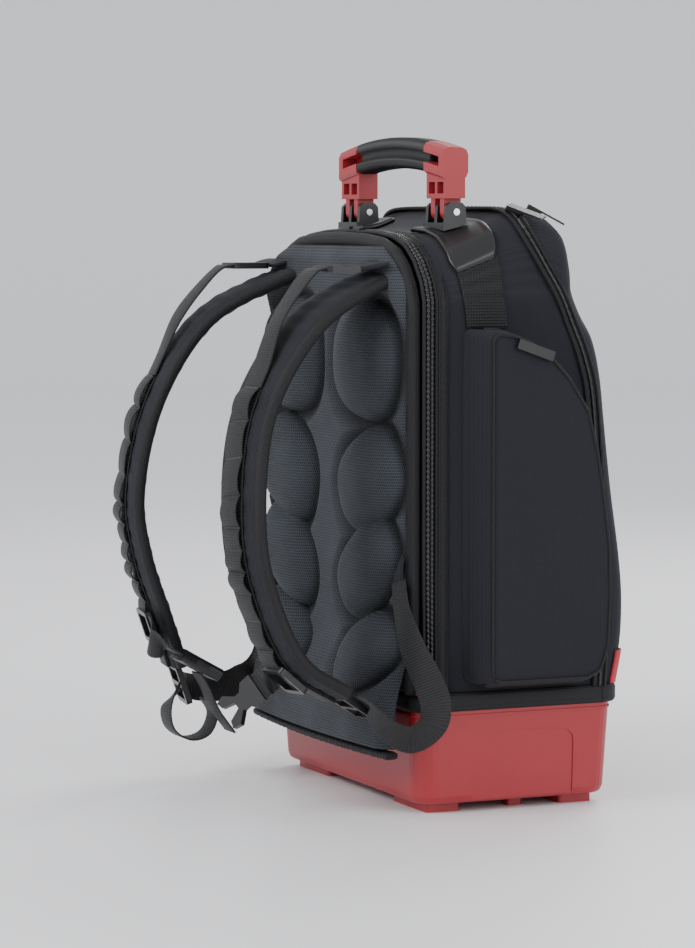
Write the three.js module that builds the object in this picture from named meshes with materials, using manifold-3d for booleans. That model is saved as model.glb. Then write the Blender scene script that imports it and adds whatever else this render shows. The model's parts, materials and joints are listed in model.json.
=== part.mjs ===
// Tool backpack: hard moulded base, hollow fabric body, moulded back pad, harness and folding top handle.
// Millimetres, +Z up, wearer's side towards -Y, front towards +Y, wearer's left towards +X.
import * as THREE from 'three';
import { mergeVertices } from 'three/addons/utils/BufferGeometryUtils.js';
import Module from 'manifold-3d';

const wasm = await Module();
wasm.setup();

// Clearance between touching pieces
const gap = 0.3;
// Clearance under a skin that follows the body's curved cloth
const skinGap = 0.6;
// Clearance between a strap's curved face and the webbing on it
const chainGap = 0.8;
// How far a cutting form runs past the face that it opens
const overrun = 10;
// Size of a cutting form that takes everything on one side
const cutReach = 1000;

// Base tray
const trayWidth = 297;
const trayDepth = 180;
const trayTop = 85;
const trayDraft = 4;
const trayCorner = 18;
const trayWall = 3.5;
const trayFloor = 4;
const trayEdge = 6;
const footHeight = 8;
const footLength = 66;
const footDepth = 30;
const footSetback = 11;
const midFootSize = 13;
const midFootShift = 8;
const rimDrop = 6;
const rimProud = 0.7;
const rimHeight = 1.6;
const recessLength = 91;
const recessTop = 65;
const recessDepth = 1;
const recessCorner = 12;
const recessShift = 6;

// Woven band over the tray rim
const bandHeight = 12;
const bandProud = 3;
const bandWall = 7;

// Fabric body
const bodyWidth = 296;
const bodyTop = 470;
const rollRise = 19;
const frontReach = 104;
const frontCorner = 22;
const shoulderDrop = 55;
const shoulderReach = 120;
const squareShoulders = 1.2;
const clothWall = 2;
const trimWidth = 9;
const trimProud = 1.2;

// Back cover and rear zip
const backFace = -94;
const backThickness = 8.7;
const zipWidth = 11.7;
const zipInset = 0.5;
const backInset = 1;

// Back pad
const padInset = 7;
const padTopDrop = 12;
const padBottom = 55;
const padThickness = 5;
const padStandOff = 12;
const padBow = 8;
const padFlareTop = 140;
const padFlareSpan = 60;
const padShoulder = 0.9;
const padNarrowing = 0.32;
const padNarrowPower = 2.4;
const lobeDepth = 17;
const lobeFollow = 0.6;
const bindingHeight = 10;
const bindingThickness = 6;

// Fabric tabs that carry the lower webbing
const sideTabBottom = 162;
const sideTabTop = 212;
const sideTabPoint = 188;
const sideTabReach = 20;
const sideTabThickness = 1.6;

// Side pockets
const pocketLength = 108;
const pocketHeight = 286;
const pocketProud = 29.7;
const pocketBottom = 106;
const pocketRear = -38;
const pocketFlare = 12;
const pocketEdge = 4;

// Handle patches and side webbing
const patchThickness = 3.5;
const patchDrop = 24;
const patchRear = -57;
const patchFront = -15;
const patchInner = 60;
const patchChamfer = 7;
const sideWebWidth = 36;
const sideWebThickness = 1.5;
const sideWebLean = 7;

// Folding handle
const pivotY = -37;
const pivotRise = 15.6;
const bracketSpan = 174;
const bracketWidth = 40;
const earThickness = 5;
const earTop = 7.6;
const earTopWidth = 15.5;
const earFootWidth = 19;
const earFoot = 13;
const bracketDepth = 23;
const footDrop = 8.6;
const pinDiameter = 4;
const pinHead = 5.6;
const pinHeadHeight = 0.8;
const tongueThickness = 8;
const tongueWidth = 15;
const legShoulder = 11;
const legDepth = 17.5;
const legWidth = 37;
const legRib = 4.5;
const legCellDepth = 12;
const legShelf = 4;
const gripHeight = 26;
const gripDepth = 23;
const gripTop = 62.4;
const gripArch = 10;
const gripChannel = 8;
const gripChannelDepth = 5;
const gripRound = 6;
const headChannelDepth = 13;
const headEndWall = 8;

// Shoulder straps
const strapWidth = 62;
const strapThickness = 15;
const strapTurn = 7.5;
const webWidth = 25;
const webThickness = 2;
const lowerWebThickness = 1.6;
// Shares of the strap's route where its webbing starts and where the chest glide sits
const chainStart = 0.4;
const glideShare = 0.88;
const lifterLanding = 0.03;

// Buckles and adjusters
const ladderLength = 36;
const ladderWidth = 34;
const ladderThickness = 5;
const ladderBar = 4.5;
const glideLength = 30;
const lifterLength = 32;
const lifterTabFlare = 12;
const lifterTabRise = 0.2;
const femaleLength = 38;
const femaleWidth = 32;
const femaleThickness = 11;
const maleBody = 20;
const maleProng = 16;
const maleInset = 3;
const maleWaist = 9;
const maleCore = 13;
const maleThickness = 6;
const sliderLength = 13;
const sliderWidth = 8;
const sliderHeight = 4;
// Depth of a slider's foot before the body's face cuts it off
const sliderFoot = 6;
const pullLength = 27;
const pullWidth = 8;
const pullThickness = 1.6;
// Places of the zip pulls: depth and share of the half width on top, shares of the pocket's face
const topPulls = {
  rear: { y: 8, side: 0.78, along: [18, 19, -24] },
  front: { y: 30, side: 0.74, along: [10, 25, -15] },
};
const pocketPullPlace = { length: 0.25, height: 0.955 };
const pocketPullSlope = 0.35;
const rearPullSpread = 0.8;

// Red fabric tabs
const tabHeight = 27;
const tabThickness = 1.4;
const tabWidth = 17;

// Derived places
const bandTop = trayTop + gap + bandHeight;
const bodyBottom = bandTop + gap;
const halfBody = bodyWidth / 2;
const shoulderStart = bodyTop - shoulderReach;
const pivotZ = bodyTop + pivotRise;
const patchBottom = bodyTop - patchDrop;
const padTop = bodyTop - padTopDrop;
const zipBack = backFace + backThickness + gap;
const bodyBack = zipBack + zipWidth + gap;
const profileSpan = bodyTop + rollRise - bodyBottom;
const padFace = backFace - gap;
const handleX = bracketSpan / 2;
const gripLength = bracketSpan - legWidth - 2 * gap;
const padHalf = halfBody - padInset;
const sideTabFace = padFace - padThickness - skinGap - sideTabThickness - 2 * gap - lowerWebThickness / 2;

// Side profile of the body: [share of frontReach, share of the body's height], from the front hem up
const frontProfile = [
  [0.92, 0], [0.985, 0.09], [1, 0.175], [0.975, 0.26], [0.9, 0.4], [0.83, 0.56], [0.79, 0.65],
  [0.72, 0.735], [0.62, 0.79], [0.54, 0.85], [0.52, 0.91], [0.46, 0.965], [0.3, 0.995],
  [0.06, 0.995], [-0.14, 0.972], [-0.32, 0.955], [-0.5, 0.9515],
];
// Seam between the body and the front compartment: [share of frontReach, share of the body's height]
const seamProfile = [
  [0.05, 1.06], [0.07, 0.985], [0.12, 0.94], [0.22, 0.883], [0.356, 0.819], [0.48, 0.747],
  [0.577, 0.673], [0.635, 0.6], [0.69, 0.39], [0.73, 0.186], [0.7, -0.03],
];
// Shoulder of the arch: [share of the half width, share of shoulderDrop]
const shoulder = [[0, 0], [0.35, 0.02], [0.6, 0.08], [0.75, 0.2], [0.87, 0.42], [0.96, 0.72], [1, 1]];
// Face of a side pocket: [share of pocketLength, share of pocketHeight], counterclockwise
const pocketFace = [
  [0, 0.03], [0.02, 0.008], [0.075, 0], [0.81, 0], [0.92, 0.02], [0.98, 0.087], [1, 0.23],
  [0.99, 0.38], [0.945, 0.514], [0.89, 0.643], [0.806, 0.773], [0.64, 0.87], [0.47, 0.937],
  [0.305, 0.976], [0.14, 0.997], [0.03, 1], [0, 0.985],
];
// Moulded lobes of the back pad, one half: centre and half sizes as shares of the pad's half width
// and height, then the tilt in degrees
const lobes = [
  { x: 0.52, z: 0.75, wide: 0.38, high: 0.108, tilt: 0 },
  { x: 0.6, z: 0.52, wide: 0.36, high: 0.095, tilt: 24 },
  { x: 0.56, z: 0.345, wide: 0.35, high: 0.082, tilt: 32 },
  { x: 0.6, z: 0.19, wide: 0.34, high: 0.066, tilt: 18 },
];

// Free webbing of the chest strap and the adjuster tails: place, then the way the face looks
const chestRoutes = {
  left: [[[104, -203, 112], [0.4, -0.75, 0.1]], [[100, -208, 106], [0.54, -0.71, 0.26]]],
  right: [
    [[95, -228, 121], [0, -1, 0]], [[83, -222, 119], [0, -0.9, -0.4]], [[80, -215, 116], [0, -0.51, -0.86]],
    [[80, -208, 112], [0, -0.51, -0.86]],
  ],
};
const chestTailRoute = [
  [[80, -184, 82], [0, -0.95, -0.3]], [[80, -176, 64], [0, -0.9, -0.4]], [[80, -161, 43], [0, -0.85, -0.5]],
];
const loopTail = [
  [[112, -207, 62], [0, -1, 0]], [[112, -204, 44], [0, -0.8, -0.6]], [[112, -188, 34], [0, 0, -1]],
  [[112, -172, 38], [0, 0.7, -0.7]], [[112, -165, 54], [0, 1, 0]], [[112, -172, 67], [0, 0.8, 0.5]],
];

// Routes: [x, y, z] of each strap's outer face, left side, x mirrored on the right
const strapRoute = [
  [92, -86, 443], [97, -120, 433], [110, -178, 400], [116, -224, 330], [129, -239, 243], [130, -231, 190],
];
const strapEnds = {
  left: [[130, -200, 125], [130, -158, 97]],
  right: [[130, -214, 140], [130, -199, 96]],
};
// Sewn end of the lower webbing, out from the pad's edge and up from the side tab's tip
const lowerSewn = [{ out: -1, rise: 2, face: [0, -1, 0] }, { out: 5, rise: -20, face: [0.1, -1, 0] }];
// Lower webbing from the side tab to the ladder lock: place, x counted out from the tray's side,
// then the way its face looks
const lowerRoutes = {
  left: [
    [[8.5, -98, 138], [0.5, -0.85, 0]], [[15.5, -88, 112], [0.8, -0.6, 0]],
    [[17.5, -82, 92], [0.95, -0.3, -0.1]], [[15.5, -84, 76], [0.95, -0.2, -0.3]],
    [[13.5, -102, 66], [0.85, -0.4, -0.3]], [[13.5, -126, 78], [0.5, -0.65, -0.6]],
  ],
  right: [
    [[-0.5, -107, 135], [0.3, -0.95, 0]], [[-2.5, -110, 100], [0.6, -0.75, -0.1]],
    [[0.5, -120, 80], [0.85, -0.3, -0.4]], [[5.5, -140, 71], [0.9, -0.2, -0.3]],
    [[15.5, -168, 72], [0.75, -0.6, -0.3]],
  ],
};
const lifterRoute = [
  [[100, -154.5, 440], [0, 0, 1]], [[100, -161, 439], [0, -0.2, 1]], [[104, -179, 421], [0, -0.6, 0.8]],
  [[109, -197, 396], [0, -0.8, 0.6]],
];

// Facets of the curved forms
const bodySteps = 12;
const profileSteps = 17;
const padColumns = 8;
const padRows = 11;
const lobeFacets = 10;
const strapSteps = 25;
const webSteps = Math.round(strapSteps * (1 - chainStart));
const tailSteps = 8;
const gripSteps = 8;

const root = new THREE.Group();

const looks = {
  redShell: { color: 0xb2373e, roughness: 0.42, metalness: 0 },
  redHandle: { color: 0xbe4b50, roughness: 0.5, metalness: 0 },
  navy: { color: 0x262832, roughness: 0.9, metalness: 0 },
  black: { color: 0x17181a, roughness: 0.85, metalness: 0 },
  mesh: { color: 0x3a3f45, roughness: 0.95, metalness: 0 },
  webbing: { color: 0x1d1e20, roughness: 0.8, metalness: 0 },
  plastic: { color: 0x141416, roughness: 0.4, metalness: 0 },
  rubber: { color: 0x1a1a1c, roughness: 0.6, metalness: 0 },
  steel: { color: 0xc8c8ca, roughness: 0.25, metalness: 1 },
  redFabric: { color: 0xc0232c, roughness: 0.85, metalness: 0 },
};

function addPiece(name, geometry, look) {
  const mesh = new THREE.Mesh(geometry, new THREE.MeshStandardMaterial(looks[look]));
  mesh.name = name;
  root.add(mesh);
}

// Conversions between geometries and solids

function solidOf(geometry) {
  const bare = geometry.clone();
  bare.deleteAttribute('normal');
  bare.deleteAttribute('uv');
  const merged = mergeVertices(bare, 1e-4);
  const vertProperties = new Float32Array(merged.attributes.position.array);
  const triVerts = new Uint32Array(merged.index.array);
  return new wasm.Manifold(new wasm.Mesh({ numProp: 3, vertProperties, triVerts }));
}

function geometryOf(solid) {
  const mesh = solid.getMesh();
  const geometry = new THREE.BufferGeometry();
  geometry.setAttribute('position', new THREE.BufferAttribute(new Float32Array(mesh.vertProperties), 3));
  geometry.setIndex(new THREE.BufferAttribute(new Uint32Array(mesh.triVerts), 1));
  geometry.computeVertexNormals();
  return geometry;
}

function reshape(geometry, move) {
  const position = geometry.attributes.position;
  const point = new THREE.Vector3();
  for (let i = 0; i < position.count; i += 1) {
    point.fromBufferAttribute(position, i);
    move(point);
    position.setXYZ(i, point.x, point.y, point.z);
  }
  geometry.computeVertexNormals();
  return geometry;
}

// The same shape on the other side of the middle plane, its faces turned to look out again
function mirrored(geometry) {
  const flat = geometry.index ? geometry.toNonIndexed() : geometry.clone();
  const position = flat.attributes.position;
  const a = new THREE.Vector3();
  const b = new THREE.Vector3();
  for (let i = 0; i < position.count; i += 3) {
    a.fromBufferAttribute(position, i + 1);
    b.fromBufferAttribute(position, i + 2);
    position.setXYZ(i, -position.getX(i), position.getY(i), position.getZ(i));
    position.setXYZ(i + 1, -b.x, b.y, b.z);
    position.setXYZ(i + 2, -a.x, a.y, a.z);
  }
  flat.computeVertexNormals();
  return flat;
}

function addPair(name, geometry, look) {
  addPiece(`${name}_left`, geometry, look);
  addPiece(`${name}_right`, mirrored(geometry), look);
}

// Plain helpers

function block(x0, x1, y0, y1, z0, z1) {
  const box = new THREE.BoxGeometry(x1 - x0, y1 - y0, z1 - z0);
  return box.translate((x0 + x1) / 2, (y0 + y1) / 2, (z0 + z1) / 2);
}

function prism(shape, depth, steps = 1, curveSegments = 3) {
  return new THREE.ExtrudeGeometry(shape, { depth, steps, bevelEnabled: false, curveSegments });
}

// Stands a prism drawn in Y-Z along +X, starting at x0
function alongX(geometry, x0) {
  return reshape(geometry, (p) => p.set(x0 + p.z, p.x, p.y));
}

// Stands a prism drawn in X-Z along -Y, starting at y0
function alongY(geometry, y0) {
  return reshape(geometry, (p) => p.set(p.x, y0 - p.z, p.y));
}

function roundedRect(width, depth, radius) {
  const w = width / 2 - radius;
  const d = depth / 2 - radius;
  const shape = new THREE.Shape();
  shape.absarc(w, d, radius, 0, Math.PI / 2, false);
  shape.absarc(-w, d, radius, Math.PI / 2, Math.PI, false);
  shape.absarc(-w, -d, radius, Math.PI, 1.5 * Math.PI, false);
  shape.absarc(w, -d, radius, 1.5 * Math.PI, 2 * Math.PI, false);
  shape.closePath();
  return shape;
}

function polygon(points) {
  return new THREE.Shape(points.map(([x, y]) => new THREE.Vector2(x, y)));
}

function tableAt(table, share) {
  const last = table.length - 1;
  if (share >= table[last][0]) return table[last][1];
  let i = 0;
  while (table[i + 1][0] < share) i += 1;
  const [x0, y0] = table[i];
  const [x1, y1] = table[i + 1];
  return y0 + ((share - x0) / (x1 - x0)) * (y1 - y0);
}

// Puts a geometry drawn about the origin at a place, with its x, y and z along the three given ways
function placed(geometry, place, across, normal, along) {
  const matrix = new THREE.Matrix4().makeBasis(across, normal, along);
  matrix.setPosition(place);
  return geometry.applyMatrix4(matrix);
}

// Band that follows a route: frameAt(share) gives place, across, normal and along
function ribbon(frameAt, width, low, high, steps) {
  const shape = polygon([[-width / 2, low], [width / 2, low], [width / 2, high], [-width / 2, high]]);
  return reshape(prism(shape, 1, steps), (p) => {
    const frame = frameAt(p.z);
    const { x, y } = p;
    p.copy(frame.place).addScaledVector(frame.across, x).addScaledVector(frame.normal, y);
  });
}

// Frame along a route whose face looks the way that the second list says
function facedRoute(stations, side) {
  const sided = ([x, y, z]) => new THREE.Vector3(side * x, y, z);
  const route = new THREE.CatmullRomCurve3(stations.map(([place]) => sided(place)));
  const looking = new THREE.CatmullRomCurve3(stations.map(([, face]) => sided(face)));
  return (share) => {
    const along = route.getTangent(share);
    const across = looking.getPoint(share).cross(along).normalize();
    const normal = along.clone().cross(across).normalize();
    return { place: route.getPoint(share), across, normal, along };
  };
}

function halfSpaceY(limit) {
  return solidOf(block(-cutReach, cutReach, limit, limit + cutReach, -cutReach, cutReach));
}

// Base tray

function trayLayer(inset, z0, z1) {
  const shape = roundedRect(trayWidth - 2 * inset, trayDepth - 2 * inset, Math.max(trayCorner - inset, 2));
  const levels = [[0, 1], [0.25, 0.4], [1, 0]];
  const body = prism(shape, 3, 3);
  const halfX = trayWidth / 2 - inset;
  const halfY = trayDepth / 2 - inset;
  return reshape(body, (p) => {
    const step = Math.round(p.z);
    const [rise, tuck] = step < 3 ? levels[step] : [0, 0];
    const z = step < 3 ? z0 + rise * trayEdge : z1;
    const pull = trayDraft * (trayTop - z) / (trayTop - footHeight) + tuck * trayEdge * 0.5;
    p.set(p.x * (1 - pull / halfX), p.y * (1 - pull / halfY), z);
  });
}

function trayRecess() {
  const half = recessLength / 2;
  const shape = new THREE.Shape();
  shape.moveTo(-half, 0);
  shape.lineTo(half, 0);
  shape.lineTo(half, recessTop - recessCorner);
  shape.quadraticCurveTo(half, recessTop - 1, half - recessCorner, recessTop);
  shape.quadraticCurveTo(0, recessTop + 2, recessCorner - half, recessTop);
  shape.quadraticCurveTo(-half, recessTop - 1, -half, recessTop - recessCorner);
  shape.closePath();
  return reshape(prism(shape, 1), (p) => {
    const wallX = trayWidth / 2 - trayDraft * (trayTop - p.y) / (trayTop - footHeight);
    p.set(wallX - recessDepth + p.z * 8, p.x + recessShift, p.y);
  });
}

function trayFeet() {
  const x1 = trayWidth / 2 - trayDraft - footSetback;
  const y1 = trayDepth / 2 - trayDraft - footSetback;
  const top = footHeight + trayFloor / 2;
  const feet = [];
  for (const side of [-1, 1]) {
    for (const end of [-1, 1]) {
      const x = side * (x1 - footLength / 2);
      const y = end * (y1 - footDepth / 2);
      feet.push(prism(roundedRect(footLength, footDepth, 3), top, 1, 2).translate(x, y, 0));
    }
    const small = prism(roundedRect(midFootSize, midFootSize, 2), top, 1, 2);
    feet.push(small.translate(side * (x1 - midFootSize), midFootShift, 0));
  }
  return feet;
}

function baseTray() {
  let tray = solidOf(trayLayer(0, footHeight, trayTop));
  const rim = roundedRect(trayWidth + 2 * rimProud, trayDepth + 2 * rimProud, trayCorner + rimProud);
  tray = tray.add(solidOf(prism(rim, rimHeight).translate(0, 0, trayTop - rimDrop)));
  for (const foot of trayFeet()) tray = tray.add(solidOf(foot));
  const recess = trayRecess();
  tray = tray.subtract(solidOf(recess)).subtract(solidOf(mirrored(recess)));
  return geometryOf(tray.subtract(solidOf(trayLayer(trayWall, footHeight + trayFloor, trayTop + overrun))));
}

function baseBand() {
  const width = trayWidth + 2 * bandProud;
  const extra = frontReach * frontProfile[0][0] - trayDepth / 2 - bandProud;
  const depth = trayDepth + 2 * bandProud + extra;
  const corner = trayCorner + bandProud;
  const shape = roundedRect(width, depth + 2 * gap, corner);
  shape.holes.push(roundedRect(width - 2 * bandWall, depth - 2 * bandWall, corner - bandWall));
  return prism(shape, bandHeight).translate(0, extra / 2, trayTop + gap);
}

// Fabric body

function profilePoints(table, count) {
  const curve = new THREE.SplineCurve(table.map(
    ([y, z]) => new THREE.Vector2(y * frontReach, bodyBottom + z * profileSpan)));
  return curve.getPoints(count);
}

// Moves each point of an open line to its right by a distance
function offsetLine(points, distance) {
  return points.map((point, i) => {
    const before = points[Math.max(i - 1, 0)];
    const after = points[Math.min(i + 1, points.length - 1)];
    const way = after.clone().sub(before).normalize();
    return new THREE.Vector2(point.x + way.y * distance, point.y - way.x * distance);
  });
}

// Takes a point of the side profile out to a share of the half width, rounding shoulders and corners
function bodyPoint(y, z, side, grow) {
  const half = halfBody + grow;
  const share = Math.abs(side);
  const squarer = 1 + squareShoulders * THREE.MathUtils.smoothstep(y, bodyBack, patchFront);
  const drop = tableAt(shoulder, share) ** squarer;
  const weight = THREE.MathUtils.smoothstep(z, shoulderStart, bodyTop + grow);
  const over = Math.max(z - bodyTop - grow, 0);
  const corner = Math.max(share * half - (half - frontCorner), 0);
  const round = frontCorner - Math.sqrt(Math.max(frontCorner ** 2 - corner ** 2, 0));
  const forward = THREE.MathUtils.smoothstep(y, 0, frontReach / 3);
  return new THREE.Vector3(side * half, y - round * forward, z - drop * (shoulderDrop * weight + over));
}

// Place and outward normal on top of the body, at a depth and a share of the half width
function bodySurface(y, side, grow) {
  const line = offsetLine(profilePoints(frontProfile, 60), grow).reverse();
  const i = line.findIndex((point) => point.x > y);
  const at = bodyPoint(line[i].x, line[i].y, side, grow);
  const ahead = bodyPoint(line[i + 2].x, line[i + 2].y, side, grow).sub(at);
  const aside = bodyPoint(line[i].x, line[i].y, side + 0.04, grow).sub(at);
  return { place: at, normal: aside.cross(ahead).normalize() };
}

// The whole body as one closed form, larger by grow, from a back plane and a bottom plane
function bodySolid(grow, back, bottom) {
  const line = offsetLine(profilePoints(frontProfile, profileSteps), grow);
  const top = line[line.length - 1].y;
  line[0].y = bottom;
  const outline = [new THREE.Vector2(back, bottom), ...line, new THREE.Vector2(back, top)];
  const geometry = reshape(prism(new THREE.Shape(outline), 1, bodySteps), (p) => {
    p.copy(bodyPoint(p.x, p.y, -Math.cos(Math.PI * p.z), grow));
  });
  return solidOf(geometry);
}

// Everything behind the front seam, the seam moved back by shift
function behindSeam(shift) {
  const line = offsetLine(profilePoints(seamProfile, 20), shift);
  const outline = [new THREE.Vector2(-cutReach, cutReach), new THREE.Vector2(-cutReach, -cutReach)];
  outline.push(new THREE.Vector2(line[line.length - 1].x, -cutReach), ...line.reverse());
  outline.push(new THREE.Vector2(line[line.length - 1].x, cutReach));
  return solidOf(alongX(prism(new THREE.Shape(outline), 2 * bodyWidth), -bodyWidth));
}

function mainShell() {
  const outer = bodySolid(0, bodyBack, bodyBottom).intersect(behindSeam(gap / 2));
  const inside = bodySolid(-clothWall, bodyBack - overrun, bodyBottom - overrun);
  return geometryOf(outer.subtract(inside.intersect(behindSeam(clothWall + gap / 2))));
}

function frontShell() {
  const outer = bodySolid(0, bodyBack, bodyBottom).subtract(behindSeam(-gap / 2));
  const inner = bodySolid(-clothWall, bodyBack, bodyBottom + clothWall);
  return geometryOf(outer.subtract(inner));
}

// Skin of a given thickness on the body, cut to a shape drawn in Y-Z
function bodySkin(thickness, shape, x0, x1) {
  const cutter = solidOf(alongX(prism(shape, x1 - x0), x0));
  const outer = bodySolid(thickness + skinGap, bodyBack, bodyBottom).intersect(cutter);
  return outer.subtract(bodySolid(skinGap, bodyBack - overrun, bodyBottom - overrun));
}

function frontTrim() {
  const outer = bodySolid(trimProud + skinGap, bodyBack, bodyBottom);
  const band = outer.intersect(behindSeam(-trimWidth / 2)).subtract(behindSeam(trimWidth / 2));
  return geometryOf(band.subtract(bodySolid(skinGap, bodyBack - overrun, bodyBottom - overrun)));
}

// Arch in X-Z: half width, bottom, top and the drop of its shoulders
function archLine(half, bottom, top) {
  const line = [new THREE.Vector2(half, bottom)];
  for (let i = -10; i <= 10; i += 1) {
    const side = Math.sin(-i * Math.PI / 20);
    line.push(new THREE.Vector2(side * half, top - shoulderDrop * tableAt(shoulder, Math.abs(side))));
  }
  line.push(new THREE.Vector2(-half, bottom));
  return line;
}

function rearZip() {
  const half = halfBody - zipInset;
  const outer = archLine(half, bodyBottom, bodyTop - zipInset);
  const inner = archLine(half - clothWall, bodyBottom, bodyTop - zipInset - clothWall);
  const shape = new THREE.Shape([...outer, ...inner.reverse()]);
  return alongY(prism(shape, zipWidth), zipBack + zipWidth);
}

function backCover() {
  const line = archLine(halfBody - backInset, bodyBottom, bodyTop - backInset);
  return alongY(prism(new THREE.Shape(line), backThickness), backFace + backThickness);
}

// Back pad

function padHalfWidth(z) {
  const shoulderHeight = padTop - padShoulder * shoulderDrop;
  const over = THREE.MathUtils.clamp((z - shoulderHeight) / (padTop - shoulderHeight), 0, 1);
  return padHalf * (1 - padNarrowing * over ** padNarrowPower);
}

// How far the pad bows away from its flat back near the hem
function padOffset(x, z) {
  const flare = 1 - THREE.MathUtils.smoothstep(z, padFlareTop - padFlareSpan, padFlareTop);
  return flare * (padStandOff + padBow * (1 - (x / padHalf) ** 2));
}

function padSheet(z0, z1, thickness, columns, rows) {
  const box = new THREE.BoxGeometry(2, 1, 1, columns, 1, rows);
  return reshape(box, (p) => {
    const z = z0 + (p.z + 0.5) * (z1 - z0);
    const x = p.x * padHalfWidth(z);
    const y = padFace - (0.5 - p.y) * thickness - padOffset(x, z);
    p.set(x, y, z);
  });
}

function backPad() {
  let pad = solidOf(padSheet(padBottom, padTop, padThickness, padColumns, padRows));
  const height = padTop - padBottom;
  for (const side of [-1, 1]) {
    for (const lobe of lobes) {
      const ball = new THREE.SphereGeometry(1, lobeFacets, lobeFacets / 2 + 1);
      ball.scale(lobe.wide * padHalf, lobeDepth, lobe.high * height);
      ball.rotateY(-side * THREE.MathUtils.degToRad(lobe.tilt));
      const x = side * lobe.x * padHalf;
      const z = padBottom + lobe.z * height;
      ball.translate(x, padFace - padThickness / 2 - lobeFollow * padOffset(x, z), z);
      pad = pad.add(solidOf(ball));
    }
  }
  return geometryOf(pad.subtract(halfSpaceY(padFace)));
}

function padBinding() {
  return padSheet(padBottom - gap - bindingHeight, padBottom - gap, bindingThickness, padColumns, 1);
}

// Side pockets

function pocketForm(inset, x0, x1) {
  const length = pocketLength - 2 * inset;
  const height = pocketHeight - 2 * inset;
  const shape = polygon(pocketFace.map(([u, v]) => [u, v]));
  return reshape(prism(shape, 3, 3), (p) => {
    const step = Math.round(p.z);
    const share = [0, 0.5, 1 - pocketEdge / pocketProud, 1][step];
    const tuck = step === 3 ? pocketEdge * 0.8 : 0;
    const x = x0 + share * (x1 - x0);
    const flare = pocketFlare * (1 - share) * (1 - p.x);
    const y = pocketRear + inset + tuck + p.x * (length - 2 * tuck) - flare;
    const z = pocketBottom + inset + tuck + p.y * (height - 2 * tuck);
    p.set(x, y, z);
  });
}

function sidePocket() {
  const x0 = halfBody + gap;
  const outer = solidOf(pocketForm(0, x0, x0 + pocketProud));
  return geometryOf(outer.subtract(solidOf(pocketForm(clothWall, x0 - 1, x0 + pocketProud - clothWall))));
}

// Handle patches and the webbing below them

function handlePatch() {
  const top = bodyTop + 2 * rollRise;
  const shape = polygon([
    [patchRear, patchBottom + patchChamfer], [patchRear + patchChamfer * 0.6, patchBottom],
    [patchFront - patchChamfer, patchBottom], [patchFront, patchBottom + patchChamfer],
    [patchFront, top], [patchRear, top],
  ]);
  return geometryOf(bodySkin(patchThickness, shape, patchInner, bodyWidth));
}

function sideWebbing() {
  const bottom = pocketBottom + pocketHeight + gap;
  const rear = (patchRear + patchFront - sideWebWidth) / 2;
  const top = patchBottom - gap;
  const shape = polygon([
    [rear + sideWebLean, bottom], [rear + sideWebLean + sideWebWidth, bottom],
    [rear + sideWebWidth, top], [rear, top],
  ]);
  return geometryOf(bodySkin(sideWebThickness, shape, patchInner, bodyWidth));
}

// Folding handle

function earShape() {
  const foot = earFootWidth / 2;
  const top = earTopWidth / 2;
  const shape = polygon([
    [-foot, -earFoot], [foot, -earFoot], [top + 0.6, earTop - 3], [top - 2.4, earTop], [2.4 - top, earTop],
    [-top - 0.6, earTop - 3],
  ]);
  const hole = new THREE.Path();
  hole.absarc(0, 0, pinDiameter / 2 + gap, 0, 2 * Math.PI, true);
  shape.holes.push(hole);
  return shape;
}

function bracket() {
  const half = bracketWidth / 2;
  const foot = block(handleX - half, handleX + half, pivotY - bracketDepth / 2, pivotY + bracketDepth / 2,
    bodyTop - bracketDepth, pivotZ - footDrop);
  let solid = solidOf(foot);
  for (const offset of [-1, 0, 1]) {
    const x = handleX + offset * (half - earThickness / 2) - earThickness / 2;
    solid = solid.add(solidOf(alongX(prism(earShape(), earThickness, 1, 6), x).translate(0, pivotY, pivotZ)));
  }
  return geometryOf(solid.subtract(bodySolid(patchThickness + 2 * gap, bodyBack, bodyBottom)));
}

function rivet() {
  const half = bracketWidth / 2 + gap;
  const end = half + pinHeadHeight;
  const profile = [[0, -end], [pinHead / 2, -end], [pinHead / 2, -half], [pinDiameter / 2, -half]];
  profile.push([pinDiameter / 2, half], [pinHead / 2, half], [pinHead / 2, end], [0, end]);
  const lathe = new THREE.LatheGeometry(profile.map(([r, y]) => new THREE.Vector2(r, y)), 10);
  return lathe.rotateZ(Math.PI / 2).translate(handleX, pivotY, pivotZ);
}

// Grip section in Y-Z about the pivot, with a channel open to the wearer's side
function gripSection(channelDepth) {
  const back = -gripDepth / 2;
  const front = gripDepth / 2;
  const top = gripTop;
  const bottom = gripTop - gripHeight;
  const lip = (gripHeight - gripChannel) / 2;
  const r = gripRound;
  const cut = r * 0.3;
  const points = [
    [back, bottom + cut], [back + cut, bottom], [front - r, bottom], [front - cut, bottom + cut],
    [front, bottom + r], [front, top - r], [front - cut, top - cut], [front - r, top],
    [back + r, top], [back + cut, top - cut], [back, top - r],
  ];
  if (channelDepth > 0) {
    points.push([back, top - lip], [back + channelDepth, top - lip]);
    points.push([back + channelDepth, bottom + lip], [back, bottom + lip]);
  }
  return polygon(points);
}

function archedGrip(channelDepth, x0, x1, steps) {
  return reshape(prism(gripSection(channelDepth), 1, steps), (p) => {
    const x = x0 + p.z * (x1 - x0);
    const sink = gripArch * (x / (handleX + legWidth / 2)) ** 2;
    p.set(x, pivotY + p.x, pivotZ + p.y - sink);
  });
}

function handleGrip() {
  return archedGrip(gripChannelDepth, -gripLength / 2, gripLength / 2, gripSteps);
}

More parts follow.
